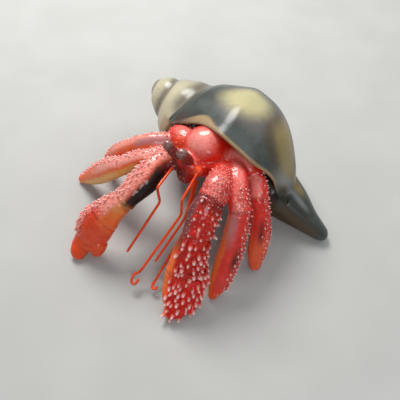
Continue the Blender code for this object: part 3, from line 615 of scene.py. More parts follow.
def shell_place(share, height):
    """A point of the shell: once round the outside, the hollow's floor and roof, and the rim."""
    along = (AXIS_LENGTH - SHELL_INSET) * 0.5 * (1.0 - math.cos(math.pi * height))
    lip = lip_angle(along)
    outer = shell_radius(along, lip)
    inner = shell_radius(along, lip - 360.0)
    step = outer - inner
    low = 1.0 - smooth_step((step - LIP_LOW_STEP[0]) / LIP_LOW_STEP[1])
    evened = 0.5 * step * max(low, smooth_step((along - LIP_END[0]) / LIP_END[1]))
    outer, inner = outer - evened, inner + evened
    wall = min(WALL, WALL_SHARE * max(outer - inner, 0.0))
    if wall < CLOSED and share > OUTSIDE_END:
        return shell_point(along, lip, outer), outside_paints(along, lip, FAR_FROM_LIP)
    setback = math.degrees(0.5 * wall / outer) if outer > 1.0 else 0.0
    open_here = smooth_step((outer - inner - LIP_OPEN[0]) / LIP_OPEN[1])
    unlipped = FAR_FROM_LIP * (1.0 - open_here)
    if share <= OUTSIDE_END:
        angle = lip - setback - (360.0 - setback) * share / OUTSIDE_END
        radius = shell_radius(along, angle)
        back = math.radians(lip - angle) * radius
        ahead = math.radians(angle - lip + 360.0) * radius
        radius += evened * math.exp(-(ahead / LIP_EVENED) ** 2)
        radius -= evened * math.exp(-(back / LIP_EVENED) ** 2)
        radius += LIP_FLARE[0] * open_here * math.exp(-(back / LIP_FLARE[1]) ** 2)
        return shell_point(along, angle, radius), outside_paints(along, angle, back + unlipped)
    ends = min(along - CAVITY[0], CAVITY[1] - along) / CAVITY_END
    depth = (CAVITY_DEPTH - max(along - CAVITY_SHALLOWS, 0.0)) * rounding(max(ends, 0.0))
    if share > ROOF_END:
        turn = math.pi * (share - ROOF_END) / (1.0 - ROOF_END)
        angle = lip - setback * (1.0 - math.sin(turn))
        radius = outer + LIP_FLARE[0] * open_here - 0.5 * wall * (1.0 + math.cos(turn))
        return shell_point(along, angle, radius), outside_paints(along, lip, unlipped)
    on_floor = share <= FLOOR_END
    if on_floor:
        behind = (share - OUTSIDE_END) / (FLOOR_END - OUTSIDE_END)
    else:
        behind = (ROOF_END - share) / (ROOF_END - FLOOR_END)
    angle = lip - (0.0 if on_floor else setback) - depth * behind
    floor = shell_radius(along, angle - 360.0) + evened
    roof = max(shell_radius(along, angle) - evened - wall, floor)
    half = 0.5 * (roof - floor) * math.sqrt(max(1.0 - behind ** 3, 0.0))
    radius = 0.5 * (roof + floor) + (-half if on_floor else half)
    back = math.radians(depth * behind) * radius
    inside = inside_paints(back + (FLOOR_SETBACK if on_floor else 0.0))
    paints = {name: value + (inside.get(name, 0.0) - value) * open_here
              for name, value in outside_paints(along, angle, FAR_FROM_LIP).items()}
    return shell_point(along, angle, radius), paints


def make_shell(material):
    mesh = wrapped(SHELL_COLUMNS, SHELL_ROWS, shell_place, SHELL_PAINTS)
    for vert in mesh.verts:
        vert.co.z = max(vert.co.z, FLOOR_CLEAR)
    finished("whelk_shell", mesh, material, ["shell"])


# Limbs

# Swellings and creases at a joint: height, how far past the joint, spread
JOINT_RELIEF = ((-1.2, 0.0, 1.1), (0.8, -2.6, 1.9), (0.35, 2.4, 1.6))
PARTING = (1.3, 0.9, 2.0)  # between two fingers: depth, spread and how soon it starts
LIMB_COLUMNS = 52
LIMB_ROW = 0.9
LIMB_TIP = 0.4  # length of the round tip, in half widths
LIMB_ROOT = 3.0  # and of the round root, in millimetres


class Limb:
    """A limb's centre line, widths and paint, smooth through its stations."""

    def __init__(self, stations, joints, patches, seam=None):
        self.stations = stations
        self.joints = joints
        self.patches = patches
        self.seam = seam
        self.last = len(stations) - 1
        self.steps = np.linspace(0.0, self.last, 20 * self.last + 1)
        points = np.array([self.station(at)[0] for at in self.steps])
        pieces = np.linalg.norm(np.diff(points, axis=0), axis=1)
        self.distances = np.concatenate([[0.0], np.cumsum(pieces)])
        self.length = self.distances[-1]

    def station(self, at):
        at = min(max(at, 0.0), float(self.last))
        here = min(int(at), self.last - 1)
        share = at - here
        before, first, second, after = (
            self.stations[min(max(here + step, 0), self.last)] for step in (-1, 0, 1, 2))
        values = []
        for a, b, c, d in zip(before, first, second, after):
            curve = (2.0 * a - 5.0 * b + 4.0 * c - d) * share ** 2
            twist = (3.0 * b - a - 3.0 * c + d) * share ** 3
            values.append(0.5 * (2.0 * b + (c - a) * share + curve + twist))
        return Vector(values[:3]), values[3], values[4]

    def distance(self, at):
        return float(np.interp(at, self.steps, self.distances))

    def place(self, distance):
        return float(np.interp(distance, self.distances, self.steps))

    def frame(self, at):
        centre, wide, thick = self.station(at)
        along = (self.station(at + 0.06)[0] - self.station(at - 0.06)[0]).normalized()
        across = along.cross(LIMB_FACING).normalized()
        return centre, along, across, across.cross(along), wide, thick

    def surface(self, at, turn):
        """A point of the limb, the way out of it and the way towards its tip."""
        centre, along, across, face, wide, thick = self.frame(at)
        angle = math.radians(turn)
        point = centre + across * wide * math.cos(angle) + face * thick * math.sin(angle)
        outward = (across * math.cos(angle) / wide + face * math.sin(angle) / thick).normalized()
        return point, outward, along

    def relief(self, at, turn):
        """Creases and swollen ends at the joints, and the parting between two fingers."""
        here = self.distance(at)
        height = 0.0
        for joint in self.joints:
            off = here - self.distance(joint)
            for rise, place, spread in JOINT_RELIEF:
                height += rise * math.exp(-((off - place) / spread) ** 2)
        if self.seam:
            start, across = self.seam
            depth, spread, rate = PARTING
            off = (math.cos(math.radians(turn)) - across) * self.station(at)[1]
            height -= depth * math.exp(-(off / spread) ** 2) * smooth_step(rate * (at - start))
        return height

    def paints(self, at, turn):
        found = dict.fromkeys(PAINTS, 0.0)
        for paint, (start, end, fade), (middle, half, soft), strength in self.patches:
            off = abs((turn - middle + 180.0) % 360.0 - 180.0)
            mask = between(at, start, end, fade) * smooth_step((half - off) / soft + 0.5)
            found[paint] = over(found[paint], strength * mask)
        return found

    def skin(self):
        tip = LIMB_TIP * self.station(self.last)[1]

        def place(share, height):
            distance = height * (self.length + tip)
            beyond = max(distance - self.length, 0.0)
            at = self.place(distance)
            turn = 360.0 * share
            point, outward, along = self.surface(at, turn)
            centre = self.station(at)[0]
            size = math.sqrt(max(1.0 - (beyond / tip) ** 2, 0.0)) * rounding(distance / LIMB_ROOT)
            point = centre + (point - centre) * size + along * beyond
            return point + outward * self.relief(at, turn) * size, self.paints(at, turn)

        return wrapped(LIMB_COLUMNS, int(self.length / LIMB_ROW), place, PAINTS)


# Each limb's joints are stations. A seam is the station that two fingers part from, and how far
# across the limb they part.
LIMBS = {
    "left_claw": Limb(LEFT_CLAW, (2.05, 5.1, 7.25), LEFT_CLAW_PATCHES, (7.2, 0.55)),
    "right_claw": Limb(RIGHT_CLAW, (4.2, 5.6), RIGHT_CLAW_PATCHES),
    "right_big_finger": Limb(RIGHT_BIG_FINGER, (), RIGHT_FINGER_PATCHES),
    "right_small_finger": Limb(RIGHT_SMALL_FINGER, (), RIGHT_FINGER_PATCHES),
    "right_leg_1": Limb(RIGHT_LEG_ONE, (3.0,), RIGHT_LEG_ONE_PATCHES),
    "right_leg_2": Limb(RIGHT_LEG_TWO, (2.0,), RIGHT_LEG_TWO_PATCHES),
    "left_leg_1": Limb(LEFT_LEG_ONE, (3.0,), LEFT_LEG_ONE_PATCHES),
    "left_leg_2": Limb(LEFT_LEG_TWO, (2.0,), LEFT_LEG_TWO_PATCHES),
}


# Skin of the body and limbs

SKIN_VOXEL = 0.92  # all the forms are fused into one skin with faces of this size
SKIN_SMOOTHINGS = 2
BODY_MIDDLE = Vector((-12.0, 22.0, 78.0))  # the body is smoothed more than the limbs
BODY_REACH = 37.0
BODY_SMOOTHINGS = 5
SWELLINGS = ((0.28, 0.16), (0.14, 0.45))  # low lumps of the skin: height and how close together
FACE_FOLDS = (0.42, 24.0)  # under the dome: height and how close together
FOLDS_FRONT = (2.0, 16.0)  # they start this far to the front and left of its middle, and fade in
FOLDS_REACH = (0.96, 1.32, 0.1)  # and lie from here to here, in the dome's half sizes
BEND_GAIN = 3.9
FLESH_NODES = [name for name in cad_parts
               if name.split("_")[0] in ("abdomen", "thorax", "carapace", "mouthparts")
               or "claw" in name or "leg" in name or "base" in name]


def body_paints(point):
    found = dict.fromkeys(PAINTS, 0.0)
    for paint, middle, radius, fade, strength in BODY_PATCHES:
        far = (point - Vector(middle)).length
        mask = smooth_step((radius + 0.5 * fade - far) / fade)
        found[paint] = over(found[paint], strength * mask)
    return found


def lump(middle, radii):
    mesh = bmesh.new()
    bmesh.ops.create_icosphere(mesh, subdivisions=5, radius=1.0)
    bmesh.ops.scale(mesh, verts=mesh.verts[:], vec=radii)
    bmesh.ops.translate(mesh, verts=mesh.verts[:], vec=middle)
    layers = paint_layers(mesh, PAINTS)
    for vert in mesh.verts:
        for name, value in body_paints(vert.co).items():
            vert[layers[name]] = value
    return mesh


def fused(mesh):
    """The outer surface of a heap of closed forms, as one even skin."""
    data = bpy.data.meshes.new("heap")
    mesh.to_mesh(data)
    heap = bpy.data.objects.new("heap", data)
    bpy.context.scene.collection.objects.link(heap)
    modifier = heap.modifiers.new("fuse", "REMESH")
    modifier.mode = "VOXEL"
    modifier.voxel_size = SKIN_VOXEL
    evaluated = heap.evaluated_get(bpy.context.evaluated_depsgraph_get())
    skin = bmesh.new()
    skin.from_mesh(evaluated.to_mesh())
    bpy.data.objects.remove(heap)
    bpy.data.meshes.remove(data)
    return skin


def smoothed(skin, verts, times):
    for _ in range(times):
        bmesh.ops.smooth_vert(skin, verts=verts, factor=0.5, use_axis_x=True, use_axis_y=True,
                              use_axis_z=True)


def paint_from(skin, heap):
    """Each point of the skin takes the paints of the forms nearest to it."""
    heap.verts.ensure_lookup_table()
    tree = KDTree(len(heap.verts))
    for index, vert in enumerate(heap.verts):
        tree.insert(vert.co, index)
    tree.balance()
    source = paint_layers(heap, PAINTS)
    target = paint_layers(skin, PAINTS)
    values = {name: [vert[layer] for vert in heap.verts] for name, layer in source.items()}
    for vert in skin.verts:
        near = tree.find_n(vert.co, 3)
        weights = [1.0 / (distance + 0.05) for _, _, distance in near]
        total = sum(weights)
        for name, layer in target.items():
            mixed = sum(weight * values[name][index]
                        for weight, (_, index, _) in zip(weights, near))
            vert[layer] = mixed / total


def wrinkled(skin):
    """Low lumps all over, and folds where the dome of the back meets the face."""
    skin.normal_update()
    moves = []
    dome, radii = Vector(CARAPACE[0]), Vector(CARAPACE[1])
    for vert in skin.verts:
        height = sum(rise * noise.noise(vert.co * scale) for rise, scale in SWELLINGS)
        off = vert.co - dome
        reach = Vector([a / b for a, b in zip(off, radii)]).length
        below = smooth_step((off.x - off.y - FOLDS_FRONT[0]) / FOLDS_FRONT[1])
        below *= between(reach, *FOLDS_REACH)
        wave = math.sin(FACE_FOLDS[1] * reach + 0.8 * noise.noise(vert.co * 0.12))
        height += FACE_FOLDS[0] * below * wave
        moves.append((vert, vert.normal * height))
    for vert, move in moves:
        vert.co += move
        vert.co.z = max(vert.co.z, FLOOR_CLEAR)


def bend_layer(skin):
    """Marks how far each point stands out of the skin near it: 0 in a crease, 1 on a ridge."""
    layer = skin.verts.layers.float.new("bend")
    skin.normal_update()
    skin.verts.ensure_lookup_table()
    rough = [0.0] * len(skin.verts)
    for index, vert in enumerate(skin.verts):
        around = [edge.other_vert(vert).co for edge in vert.link_edges]
        middle = sum(around, Vector()) / len(around)
        rough[index] = (vert.co - middle).dot(vert.normal) / SKIN_VOXEL
    for _ in range(2):
        around = [sum(rough[edge.other_vert(vert).index] for edge in vert.link_edges)
                  / len(vert.link_edges) for vert in skin.verts]
        rough = [0.5 * own + 0.5 * others for own, others in zip(rough, around)]
    for index, vert in enumerate(skin.verts):
        vert[layer] = min(max(0.5 + BEND_GAIN * rough[index], 0.0), 1.0)


def make_skin(material):
    heap = bmesh.new()
    paint_layers(heap, PAINTS)
    for limb in LIMBS.values():
        appended(heap, limb.skin())
    for middle, radii in (*THORAX_LUMPS, CARAPACE, MOUTH, LEFT_BOSS, RIGHT_BOSS, FINGER_WEB):
        appended(heap, lump(middle, radii))
    skin = fused(heap)
    smoothed(skin, skin.verts[:], SKIN_SMOOTHINGS)
    body = [vert for vert in skin.verts if (vert.co - BODY_MIDDLE).length < BODY_REACH]
    smoothed(skin, body, BODY_SMOOTHINGS)
    wrinkled(skin)
    paint_from(skin, heap)
    heap.free()
    skin.verts.index_update()
    bend_layer(skin)
    tree = BVHTree.FromBMesh(skin)
    finished("crab_skin", skin, material, FLESH_NODES)
    return tree


# Spines and granules

# Each ring's height and radius, from the sunk foot up
SPINE_PROFILE = ((-0.35, 1.15), (0.0, 1.0), (0.22, 0.84), (0.48, 0.66), (0.76, 0.48), (0.94, 0.30))
GRANULE_PROFILE = ((-0.5, 1.0), (0.0, 1.0), (0.45, 0.84), (0.8, 0.5))
SPINE_SIDES = 7
GRANULE_SIDES = 6
GRANULE_PALE = 0.55  # granules take less of the pale brushing than spines
SOWN_JITTER = 0.22  # in pitches
SOWN_END = 1.08  # rows may run a little past their last angle, in their own length
SKIN_NEAR = 2.2  # a spine whose place is further from the skin is left out
SKIN_FACING = 0.35  # and so is one where the skin faces another way
FLOOR_ROOM = 0.4  # and one that would reach this near the floor
SPINE_SUNK = 0.15  # every foot is set this much deeper


def thorn(profile, sides, pale=1.0):
    """One upright spine of unit height and foot, with its height kept as the mask called tip."""
    mesh = bmesh.new()
    paint_layers(mesh, (*PAINTS, "tip"))
    loop = bmesh.ops.create_circle(mesh, segments=sides, radius=profile[0][1])["verts"]
    bmesh.ops.translate(mesh, verts=loop, vec=(0.0, 0.0, profile[0][0]))
    for (low, narrow), (high, wide) in zip(profile, profile[1:]):
        edges = [edge for edge in mesh.edges if all(abs(v.co.z - low) < 1e-5 for v in edge.verts)]
        grown = bmesh.ops.extrude_edge_only(mesh, edges=edges)["geom"]
        ring = [item for item in grown if isinstance(item, bmesh.types.BMVert)]
        bmesh.ops.scale(mesh, verts=ring, vec=(wide / narrow, wide / narrow, 1.0))
        bmesh.ops.translate(mesh, verts=ring, vec=(0.0, 0.0, high - low))
    top = max(vert.co.z for vert in mesh.verts)
    rim = [edge for edge in mesh.edges if all(abs(v.co.z - top) < 1e-5 for v in edge.verts)]
    cap = bmesh.ops.contextual_create(mesh, geom=rim)["faces"]
    point = bmesh.ops.poke(mesh, faces=cap)["verts"]
    bmesh.ops.translate(mesh, verts=point, vec=(0.0, 0.0, 1.0 - top))
    bmesh.ops.recalc_face_normals(mesh, faces=mesh.faces[:])
    if max(mesh.faces, key=lambda face: face.calc_center_median().z).normal.z < 0.0:
        bmesh.ops.reverse_faces(mesh, faces=mesh.faces[:])
    tip = mesh.verts.layers.float["tip"]
    for vert in mesh.verts:
        vert[tip] = pale * max(vert.co.z, 0.0)
    return mesh


def sown(limb, stations, angles, pitch, chance):
    """Places on a limb in staggered rows a pitch apart, as (station, angle)."""
    start, end = (limb.distance(at) for at in stations)
    rows = max(int((end - start) / (0.87 * pitch)), 1)
    for row in range(rows + 1):
        at = limb.place(start + (end - start) * row / rows)
        _, wide, thick = limb.station(at)
        arc = math.radians(angles[1] - angles[0]) * 0.5 * (wide + thick)
        count = max(int(arc / pitch), 1)
        for step in range(count + 1):
            share = (step + 0.5 * (row % 2) + chance.uniform(-SOWN_JITTER, SOWN_JITTER)) / count
            if share > SOWN_END:
                continue
            along = limb.distance(at) + pitch * chance.uniform(-SOWN_JITTER, SOWN_JITTER)
            yield limb.place(along), angles[0] + (angles[1] - angles[0]) * share


def planted(batch, template, point, outward, lean, size, paints, skin):
    """Sets one spine on the skin, leaning a little; nothing is set where the skin is elsewhere."""
    height, radius = size
    near, normal, _, far = skin.find_nearest(point)
    if near is None or far > SKIN_NEAR or normal.dot(outward) < SKIN_FACING:
        return
    way = (normal + lean).normalized()
    if near.z + height * min(way.z, 0.0) < FLOOR_ROOM:
        return
    copy = template.copy()
    turned = UP.rotation_difference(way).to_matrix().to_4x4()
    sized = Matrix.Diagonal((radius, radius, height, 1.0))
    bmesh.ops.transform(copy, verts=copy.verts[:],
                        matrix=Matrix.Translation(near - way * SPINE_SUNK) @ turned @ sized)
    layers = paint_layers(copy, PAINTS)
    for vert in copy.verts:
        for name, value in paints.items():
            vert[layers[name]] = value
    appended(batch, copy)


# Fields of spines: (first and last station), (first and last angle), pitch, height, foot radius
SPINE_FIELDS = {
    "left_claw": (
        ((2.6, 4.9), (64.0, 190.0), 6.8, 3.0, 2.1),
        ((5.35, 6.6), (52.0, 196.0), 5.7, 4.4, 2.5),
        ((6.85, 7.0), (58.0, 190.0), 5.4, 4.2, 2.5),
        ((7.5, 9.3), (52.0, 200.0), 5.4, 5.4, 2.45),
        ((9.6, 10.8), (46.0, 200.0), 5.2, 5.7, 2.2),
    ),
    "right_claw": (
        ((0.5, 4.0), (-14.0, 66.0), 4.3, 2.4, 1.5),
        ((4.35, 5.4), (-14.0, 50.0), 4.2, 2.4, 1.5),
        ((5.75, 7.0), (-16.0, 30.0), 4.0, 2.3, 1.5),
    ),
    "right_leg_1": (
        ((0.6, 2.85), (-12.0, 52.0), 3.9, 2.1, 1.25),
        ((3.15, 5.3), (-14.0, 48.0), 3.9, 2.1, 1.25),
        ((5.65, 6.7), (-10.0, 30.0), 3.6, 1.9, 1.1),
    ),
    "right_leg_2": (
        ((0.6, 1.9), (-10.0, 44.0), 3.8, 2.0, 1.15),
        ((2.15, 4.2), (-12.0, 38.0), 3.8, 2.0, 1.15),
    ),
    "left_leg_1": (
        ((1.6, 2.8), (96.0, 196.0), 4.2, 1.6, 1.1),
        ((3.15, 5.9), (126.0, 198.0), 4.8, 2.9, 1.35),
        ((6.15, 7.3), (122.0, 196.0), 4.6, 2.8, 1.3),
    ),
    "left_leg_2": (
        ((0.5, 1.85), (86.0, 196.0), 4.0, 1.8, 1.1),
        ((2.15, 4.5), (108.0, 196.0), 4.3, 2.3, 1.2),
        ((4.75, 5.3), (120.0, 190.0), 4.2, 1.9, 1.1),
    ),
}

# Fields of granules on the limbs, in the same way
GRANULE_FIELDS = {
    "left_claw": (
        ((0.6, 1.9), (20.0, 200.0), 3.6, 1.0, 1.15),
        ((2.3, 5.0), (40.0, 200.0), 4.2, 0.8, 0.9),
    ),
    "right_claw": (
        ((0.4, 5.4), (-14.0, 84.0), 3.2, 0.9, 0.9),
        ((5.6, 7.0), (-20.0, 46.0), 2.8, 0.9, 0.95),
    ),
    "right_leg_1": (
        ((0.5, 6.6), (-14.0, 62.0), 3.0, 0.8, 0.85),
    ),
    "right_leg_2": (
        ((0.5, 4.2), (-14.0, 50.0), 3.0, 0.8, 0.85),
    ),
    "left_leg_1": (
        ((1.9, 2.9), (70.0, 200.0), 3.4, 0.8, 0.9),
        ((3.1, 7.2), (126.0, 150.0), 4.2, 0.7, 0.8),
    ),
    "left_leg_2": (
        ((1.0, 1.9), (110.0, 200.0), 3.4, 0.8, 0.9),
        ((2.1, 4.4), (108.0, 150.0), 4.0, 0.7, 0.8),
    ),
}

# How far spines and granules lean towards a limb's tip
CLAW_LEAN = 1.1
LEG_LEAN = 0.5
GRANULE_LEAN = 0.1

# Single big spines on the left claw: station, angle, height and foot radius
BIG_SPINES = (
    (4.75, 176.0, 6.5, 2.4),
    (3.2, 178.0, 4.5, 2.0),
    (4.0, 182.0, 4.0, 1.8),
)

# Granules on the shoulder beside the dome and on the face: middle, radius, pitch, most of them,
# height and foot radius
BODY_GRANULES = (
    ((-42.0, 24.0, 86.0), 13.0, 3.6, 40, 0.9, 1.0),
    ((-21.0, -8.0, 70.0), 10.0, 3.0, 30, 0.8, 0.8),
)
BODY_TRIES = 6  # for each granule of a patch


def plant_fields(batch, template, limb, fields, chance, skin, lean):
    for stations, angles, pitch, height, radius in fields:
        for at, turn in sown(limb, stations, angles, pitch, chance):
            point, outward, along = limb.surface(at, turn)
            grown = chance.uniform(0.75, 1.15)
            tilt = along * lean + Vector([chance.uniform(-0.12, 0.12) for _ in range(3)])
            planted(batch, template, point, outward, tilt, (height * grown, radius * grown),
                    limb.paints(at, turn), skin)


def make_spines(material, skin):
    chance = random.Random(7)
    spine = thorn(SPINE_PROFILE, SPINE_SIDES)
    granule = thorn(GRANULE_PROFILE, GRANULE_SIDES, GRANULE_PALE)
    for name, fields in SPINE_FIELDS.items():
        limb = LIMBS[name]
        batch = bmesh.new()
        paint_layers(batch, (*PAINTS, "tip"))
        lean = CLAW_LEAN if name == "left_claw" else LEG_LEAN
        plant_fields(batch, spine, limb, fields, chance, skin, lean)
        for at, turn, height, radius in BIG_SPINES if name == "left_claw" else ():
            point, outward, along = limb.surface(at, turn)
            planted(batch, spine, point, outward, 0.5 * along, (height, radius),
                    limb.paints(at, turn), skin)
        plant_fields(batch, granule, limb, GRANULE_FIELDS[name], chance, skin, GRANULE_LEAN)
        finished(name + "_spines", batch, material)


def make_body_granules(material, skin):
    chance = random.Random(11)
    granule = thorn(GRANULE_PROFILE, GRANULE_SIDES, GRANULE_PALE)
    batch = bmesh.new()
    paint_layers(batch, (*PAINTS, "tip"))
    for middle, radius, pitch, count, height, foot in BODY_GRANULES:
        taken = []
        for _ in range(BODY_TRIES * count):
            way = Vector([chance.gauss(0.0, 1.0) for _ in range(3)]).normalized()
            aim = Vector(middle) + way * radius * chance.random()
            point, normal, _, _ = skin.find_nearest(aim)
            if len(taken) >= count or any((point - other).length < pitch for other in taken):
                continue
            if normal.z < 0.1 and normal.y > -0.3:
                continue
            taken.append(point)
            grown = chance.uniform(0.7, 1.2)
            planted(batch, granule, point, normal, Vector(), (height * grown, foot * grown),
                    body_paints(point), skin)
    finished("body_granules", batch, material)


# Eyes

def round_noise(turn, reach, height):
    """Noise sampled on a circle, so that it meets itself after a full turn."""
    return noise.noise(Vector((reach * math.cos(turn), reach * math.sin(turn), height)))


def make_eyes(stalk_material, eye_material):
    for side, (tip, root, radius) in EYES.items():
        along = (tip - root).normalized()
        seam = tip - along * EYE_SEAM * radius
        length = (seam - root).length
        across = along.orthogonal().normalized()
        other = along.cross(across)

        def ring_point(share, distance, size):
            turn = 2.0 * math.pi * share
            out = across * math.cos(turn) + other * math.sin(turn)
            return seam + along * distance + out * size

        def bulge(share, height):
            lift = math.radians(EYE_LIFT + (90.0 - EYE_LIFT) * height)
            lumps = 1.0 + 0.012 * round_noise(2.0 * math.pi * share, 6.0, 9.0 * height)
            size = EYE_FILL * radius * math.cos(lift) * lumps * min(height / EYE_FOOT, 1.0)
            return ring_point(share, EYE_FILL * radius * (EYE_SEAM + math.sin(lift)), size), {}

        def stalk(share, height):
            distance = -length + (length + 1.0) * height
            size = 1.0 + 0.02 * round_noise(STALK_RIPPLE_TURN * share, 3.0, 10.0 * height)
            size += sum(rise * smooth_step(rate * (height - start))
                        for rise, rate, start in STALK_WAIST)
            rise, centre, spread = STALK_COLLAR
            size += rise * math.exp(-((height - centre) / spread) ** 2)
            size *= radius * rounding((1.0 - height) / STALK_END) * rounding(height / STALK_END)
            return ring_point(share, distance, size), {"root": 1.0 - smooth_step(2.0 * height)}

        finished(f"{side}_eye", wrapped(40, 40, bulge, ()), eye_material, [f"eye_{side}"])
        finished(f"{side}_eyestalk", wrapped(36, 44, stalk, ("root",)), stalk_material,
                 [f"eyestalk_{side}"])


# Wire feelers

def bent_wire(corners):
    """Points along a wire bent at its corners: straight runs with a rounded bend between them."""
    points = [Vector(corners[0])]
    for before, corner, after in zip(corners, corners[1:], corners[2:]):
        corner = Vector(corner)
        back = Vector(before) - corner
        onward = Vector(after) - corner
        first = corner + back.normalized() * min(WIRE_BEND, WIRE_BEND_SHARE * back.length)
        last = corner + onward.normalized() * min(WIRE_BEND, WIRE_BEND_SHARE * onward.length)
        for step in range(WIRE_BEND_STEPS + 1):
            share = step / WIRE_BEND_STEPS
            points.append(first.lerp(corner, share).lerp(corner.lerp(last, share), share))
    points.append(Vector(corners[-1]))
    return points


def wire_mesh(corners):
    """A round wire with its free end rounded off."""
    points = bent_wire(corners)
    last = len(points) - 1
    lengths = [0.0]
    for before, after in zip(points, points[1:]):
        lengths.append(lengths[-1] + (after - before).length)
    across = Vector((1.0, 0.0, 0.0))
    frames = []
    for index, point in enumerate(points):
        along = (points[min(index + 1, last)] - points[max(index - 1, 0)]).normalized()
        across = (across - along * across.dot(along)).normalized()
        frames.append((point, across.copy(), along.cross(across)))

    def place(share, height):
        distance = lengths[-1] * height
        index = min(max(int(np.searchsorted(lengths, distance)) - 1, 0), last - 1)
        part = (distance - lengths[index]) / (lengths[index + 1] - lengths[index])
        point, side, other = (a.lerp(b, part) for a, b in zip(frames[index], frames[index + 1]))
        turn = 2.0 * math.pi * share
        size = rounding((lengths[-1] - distance) / WIRE_TIP) * rounding(distance / WIRE_ROOT)
        size *= (WIRE_RADIUS - WIRE_INSET) * (1.0 + 0.05 * noise.noise(point * 0.5))
        return point + (side * math.cos(turn) + other * math.sin(turn)) * size, {}

    return wrapped(WIRE_SIDES, int(lengths[-1] / WIRE_ROW), place, ())


def make_feelers(material):
    for name, (node, route) in FEELERS.items():
        finished(name, wire_mesh(route), material, [node])


# Materials

class Tree:
    """Adds nodes to one node tree and joins them."""

    def __init__(self, tree):
        self.tree = tree

    def add(self, kind, inputs=(), **settings):
        node = self.tree.nodes.new(kind)
        for name, value in settings.items():
            setattr(node, name, value)
        for key, value in dict(inputs).items():
            if isinstance(value, bpy.types.NodeSocket):
                self.tree.links.new(value, node.inputs[key])
            else:
                node.inputs[key].default_value = value
        return node

    def coordinates(self):
        return self.add("ShaderNodeTexCoord").outputs["Object"]

    def mask(self, name):
        return self.add("ShaderNodeAttribute", attribute_name=name).outputs["Fac"]

    def noise(self, vector, size, detail=3.0, roughness=0.55):
        """Cloudy noise whose features are about a size, in millimetres, across."""
        node = self.add("ShaderNodeTexNoise", {"Vector": vector, "Scale": 1.0 / (size * MM),
                                               "Detail": detail, "Roughness": roughness})
        return node.outputs["Fac"]

    def cells(self, vector, size):
        node = self.add("ShaderNodeTexVoronoi", {"Vector": vector, "Scale": 1.0 / (size * MM)})
        return node.outputs["Distance"]

    def math(self, operation, *values, clamp=False):
        node = self.add("ShaderNodeMath", dict(enumerate(values)), operation=operation,
                        use_clamp=clamp)
        return node.outputs[0]

    def times(self, first, second):
        return self.math("MULTIPLY", first, second)

    def ramp(self, value, low, high, out=(0.0, 1.0)):
        node = self.add("ShaderNodeMapRange", {0: value, 1: low, 2: high, 3: out[0], 4: out[1]},
                        interpolation_type="SMOOTHSTEP")
        return node.outputs[0]

    def mix(self, factor, first, second):
        colours = {index: (*value, 1.0) if isinstance(value, tuple) else value
                   for index, value in ((6, first), (7, second))}
        return self.add("ShaderNodeMix", {0: factor, **colours}, data_type="RGBA").outputs[2]

    def group(self, group, **inputs):
        return self.add("ShaderNodeGroup", inputs, node_tree=group).outputs


def new_group(name, inputs, outputs):
    """A node group with its sockets; gives its tree, its inputs and its output node."""
    group = bpy.data.node_groups.new(name, "ShaderNodeTree")
    for socket, kind in inputs:
        group.interface.new_socket(socket, in_out="INPUT", socket_type=kind)
    for socket, kind in outputs:
        group.interface.new_socket(socket, in_out="OUTPUT", socket_type=kind)
    tree = Tree(group)
    return group, tree, tree.add("NodeGroupInput").outputs, tree.add("NodeGroupOutput").inputs


def sprayed_group():
    """Breaks the soft edge of a painted patch into an airbrush's fine droplets and drifts."""
    group, tree, given, result = new_group(
        "sprayed_edge", [("Mask", "NodeSocketFloat"), ("Vector", "NodeSocketVector"),
                         ("Drift", "NodeSocketFloat"), ("Droplets", "NodeSocketFloat")],
        [("Mask", "NodeSocketFloat")])
    mask = given["Mask"]
    drift = tree.math("SUBTRACT", tree.noise(given["Vector"], 5.0, 4.0), 0.5)
    droplets = tree.math("SUBTRACT", tree.noise(given["Vector"], 0.55, 2.0), 0.5)
    shift = tree.math("ADD", tree.times(drift, given["Drift"]),
                      tree.times(droplets, given["Droplets"]))
    edge = tree.times(tree.times(mask, tree.math("SUBTRACT", 1.0, mask)), 4.0)
    moved = tree.math("ADD", mask, tree.times(edge, shift), clamp=True)
    group.links.new(moved, result["Mask"])
    return group


def casting_group():
    """The height of a cast surface: shallow swellings, a fine grain and a few pinholes."""
    group, tree, given, result = new_group(
        "cast_surface", [("Vector", "NodeSocketVector"), ("Grain", "NodeSocketFloat"),
                         ("Pinholes", "NodeSocketFloat")],
        [("Height", "NodeSocketFloat"), ("Pinhole", "NodeSocketFloat")])
    swelling = tree.noise(given["Vector"], 3.2, 3.0)
    grain = tree.times(tree.noise(given["Vector"], 0.7, 3.0, 0.65), given["Grain"])
    hole = tree.ramp(tree.cells(given["Vector"], 9.0), 0.05, 0.09, out=(1.0, 0.0))
    hole = tree.times(hole, given["Pinholes"])
    height = tree.math("ADD", tree.times(swelling, 0.6), grain)
    group.links.new(tree.math("SUBTRACT", height, hole), result["Height"])
    group.links.new(hole, result["Pinhole"])
    return group


def new_material(name, coat=0.0, coat_roughness=0.1, specular=0.5):
    material = bpy.data.materials.new(name)
    material.use_nodes = True
    tree = Tree(material.node_tree)
    shader = material.node_tree.nodes["Principled BSDF"]
    shader.inputs["Coat Weight"].default_value = coat
    shader.inputs["Coat Roughness"].default_value = coat_roughness
    shader.inputs["Specular IOR Level"].default_value = specular
    return material, tree, shader


def wire_up(tree, shader, **sockets):
    for name, value in sockets.items():
        tree.tree.links.new(value, shader.inputs[name.replace("_", " ")])


def bumped(tree, height, distance, strength):
    node = tree.add("ShaderNodeBump", {"Height": height, "Distance": distance * MM,
                                       "Strength": strength})
    return node.outputs["Normal"]


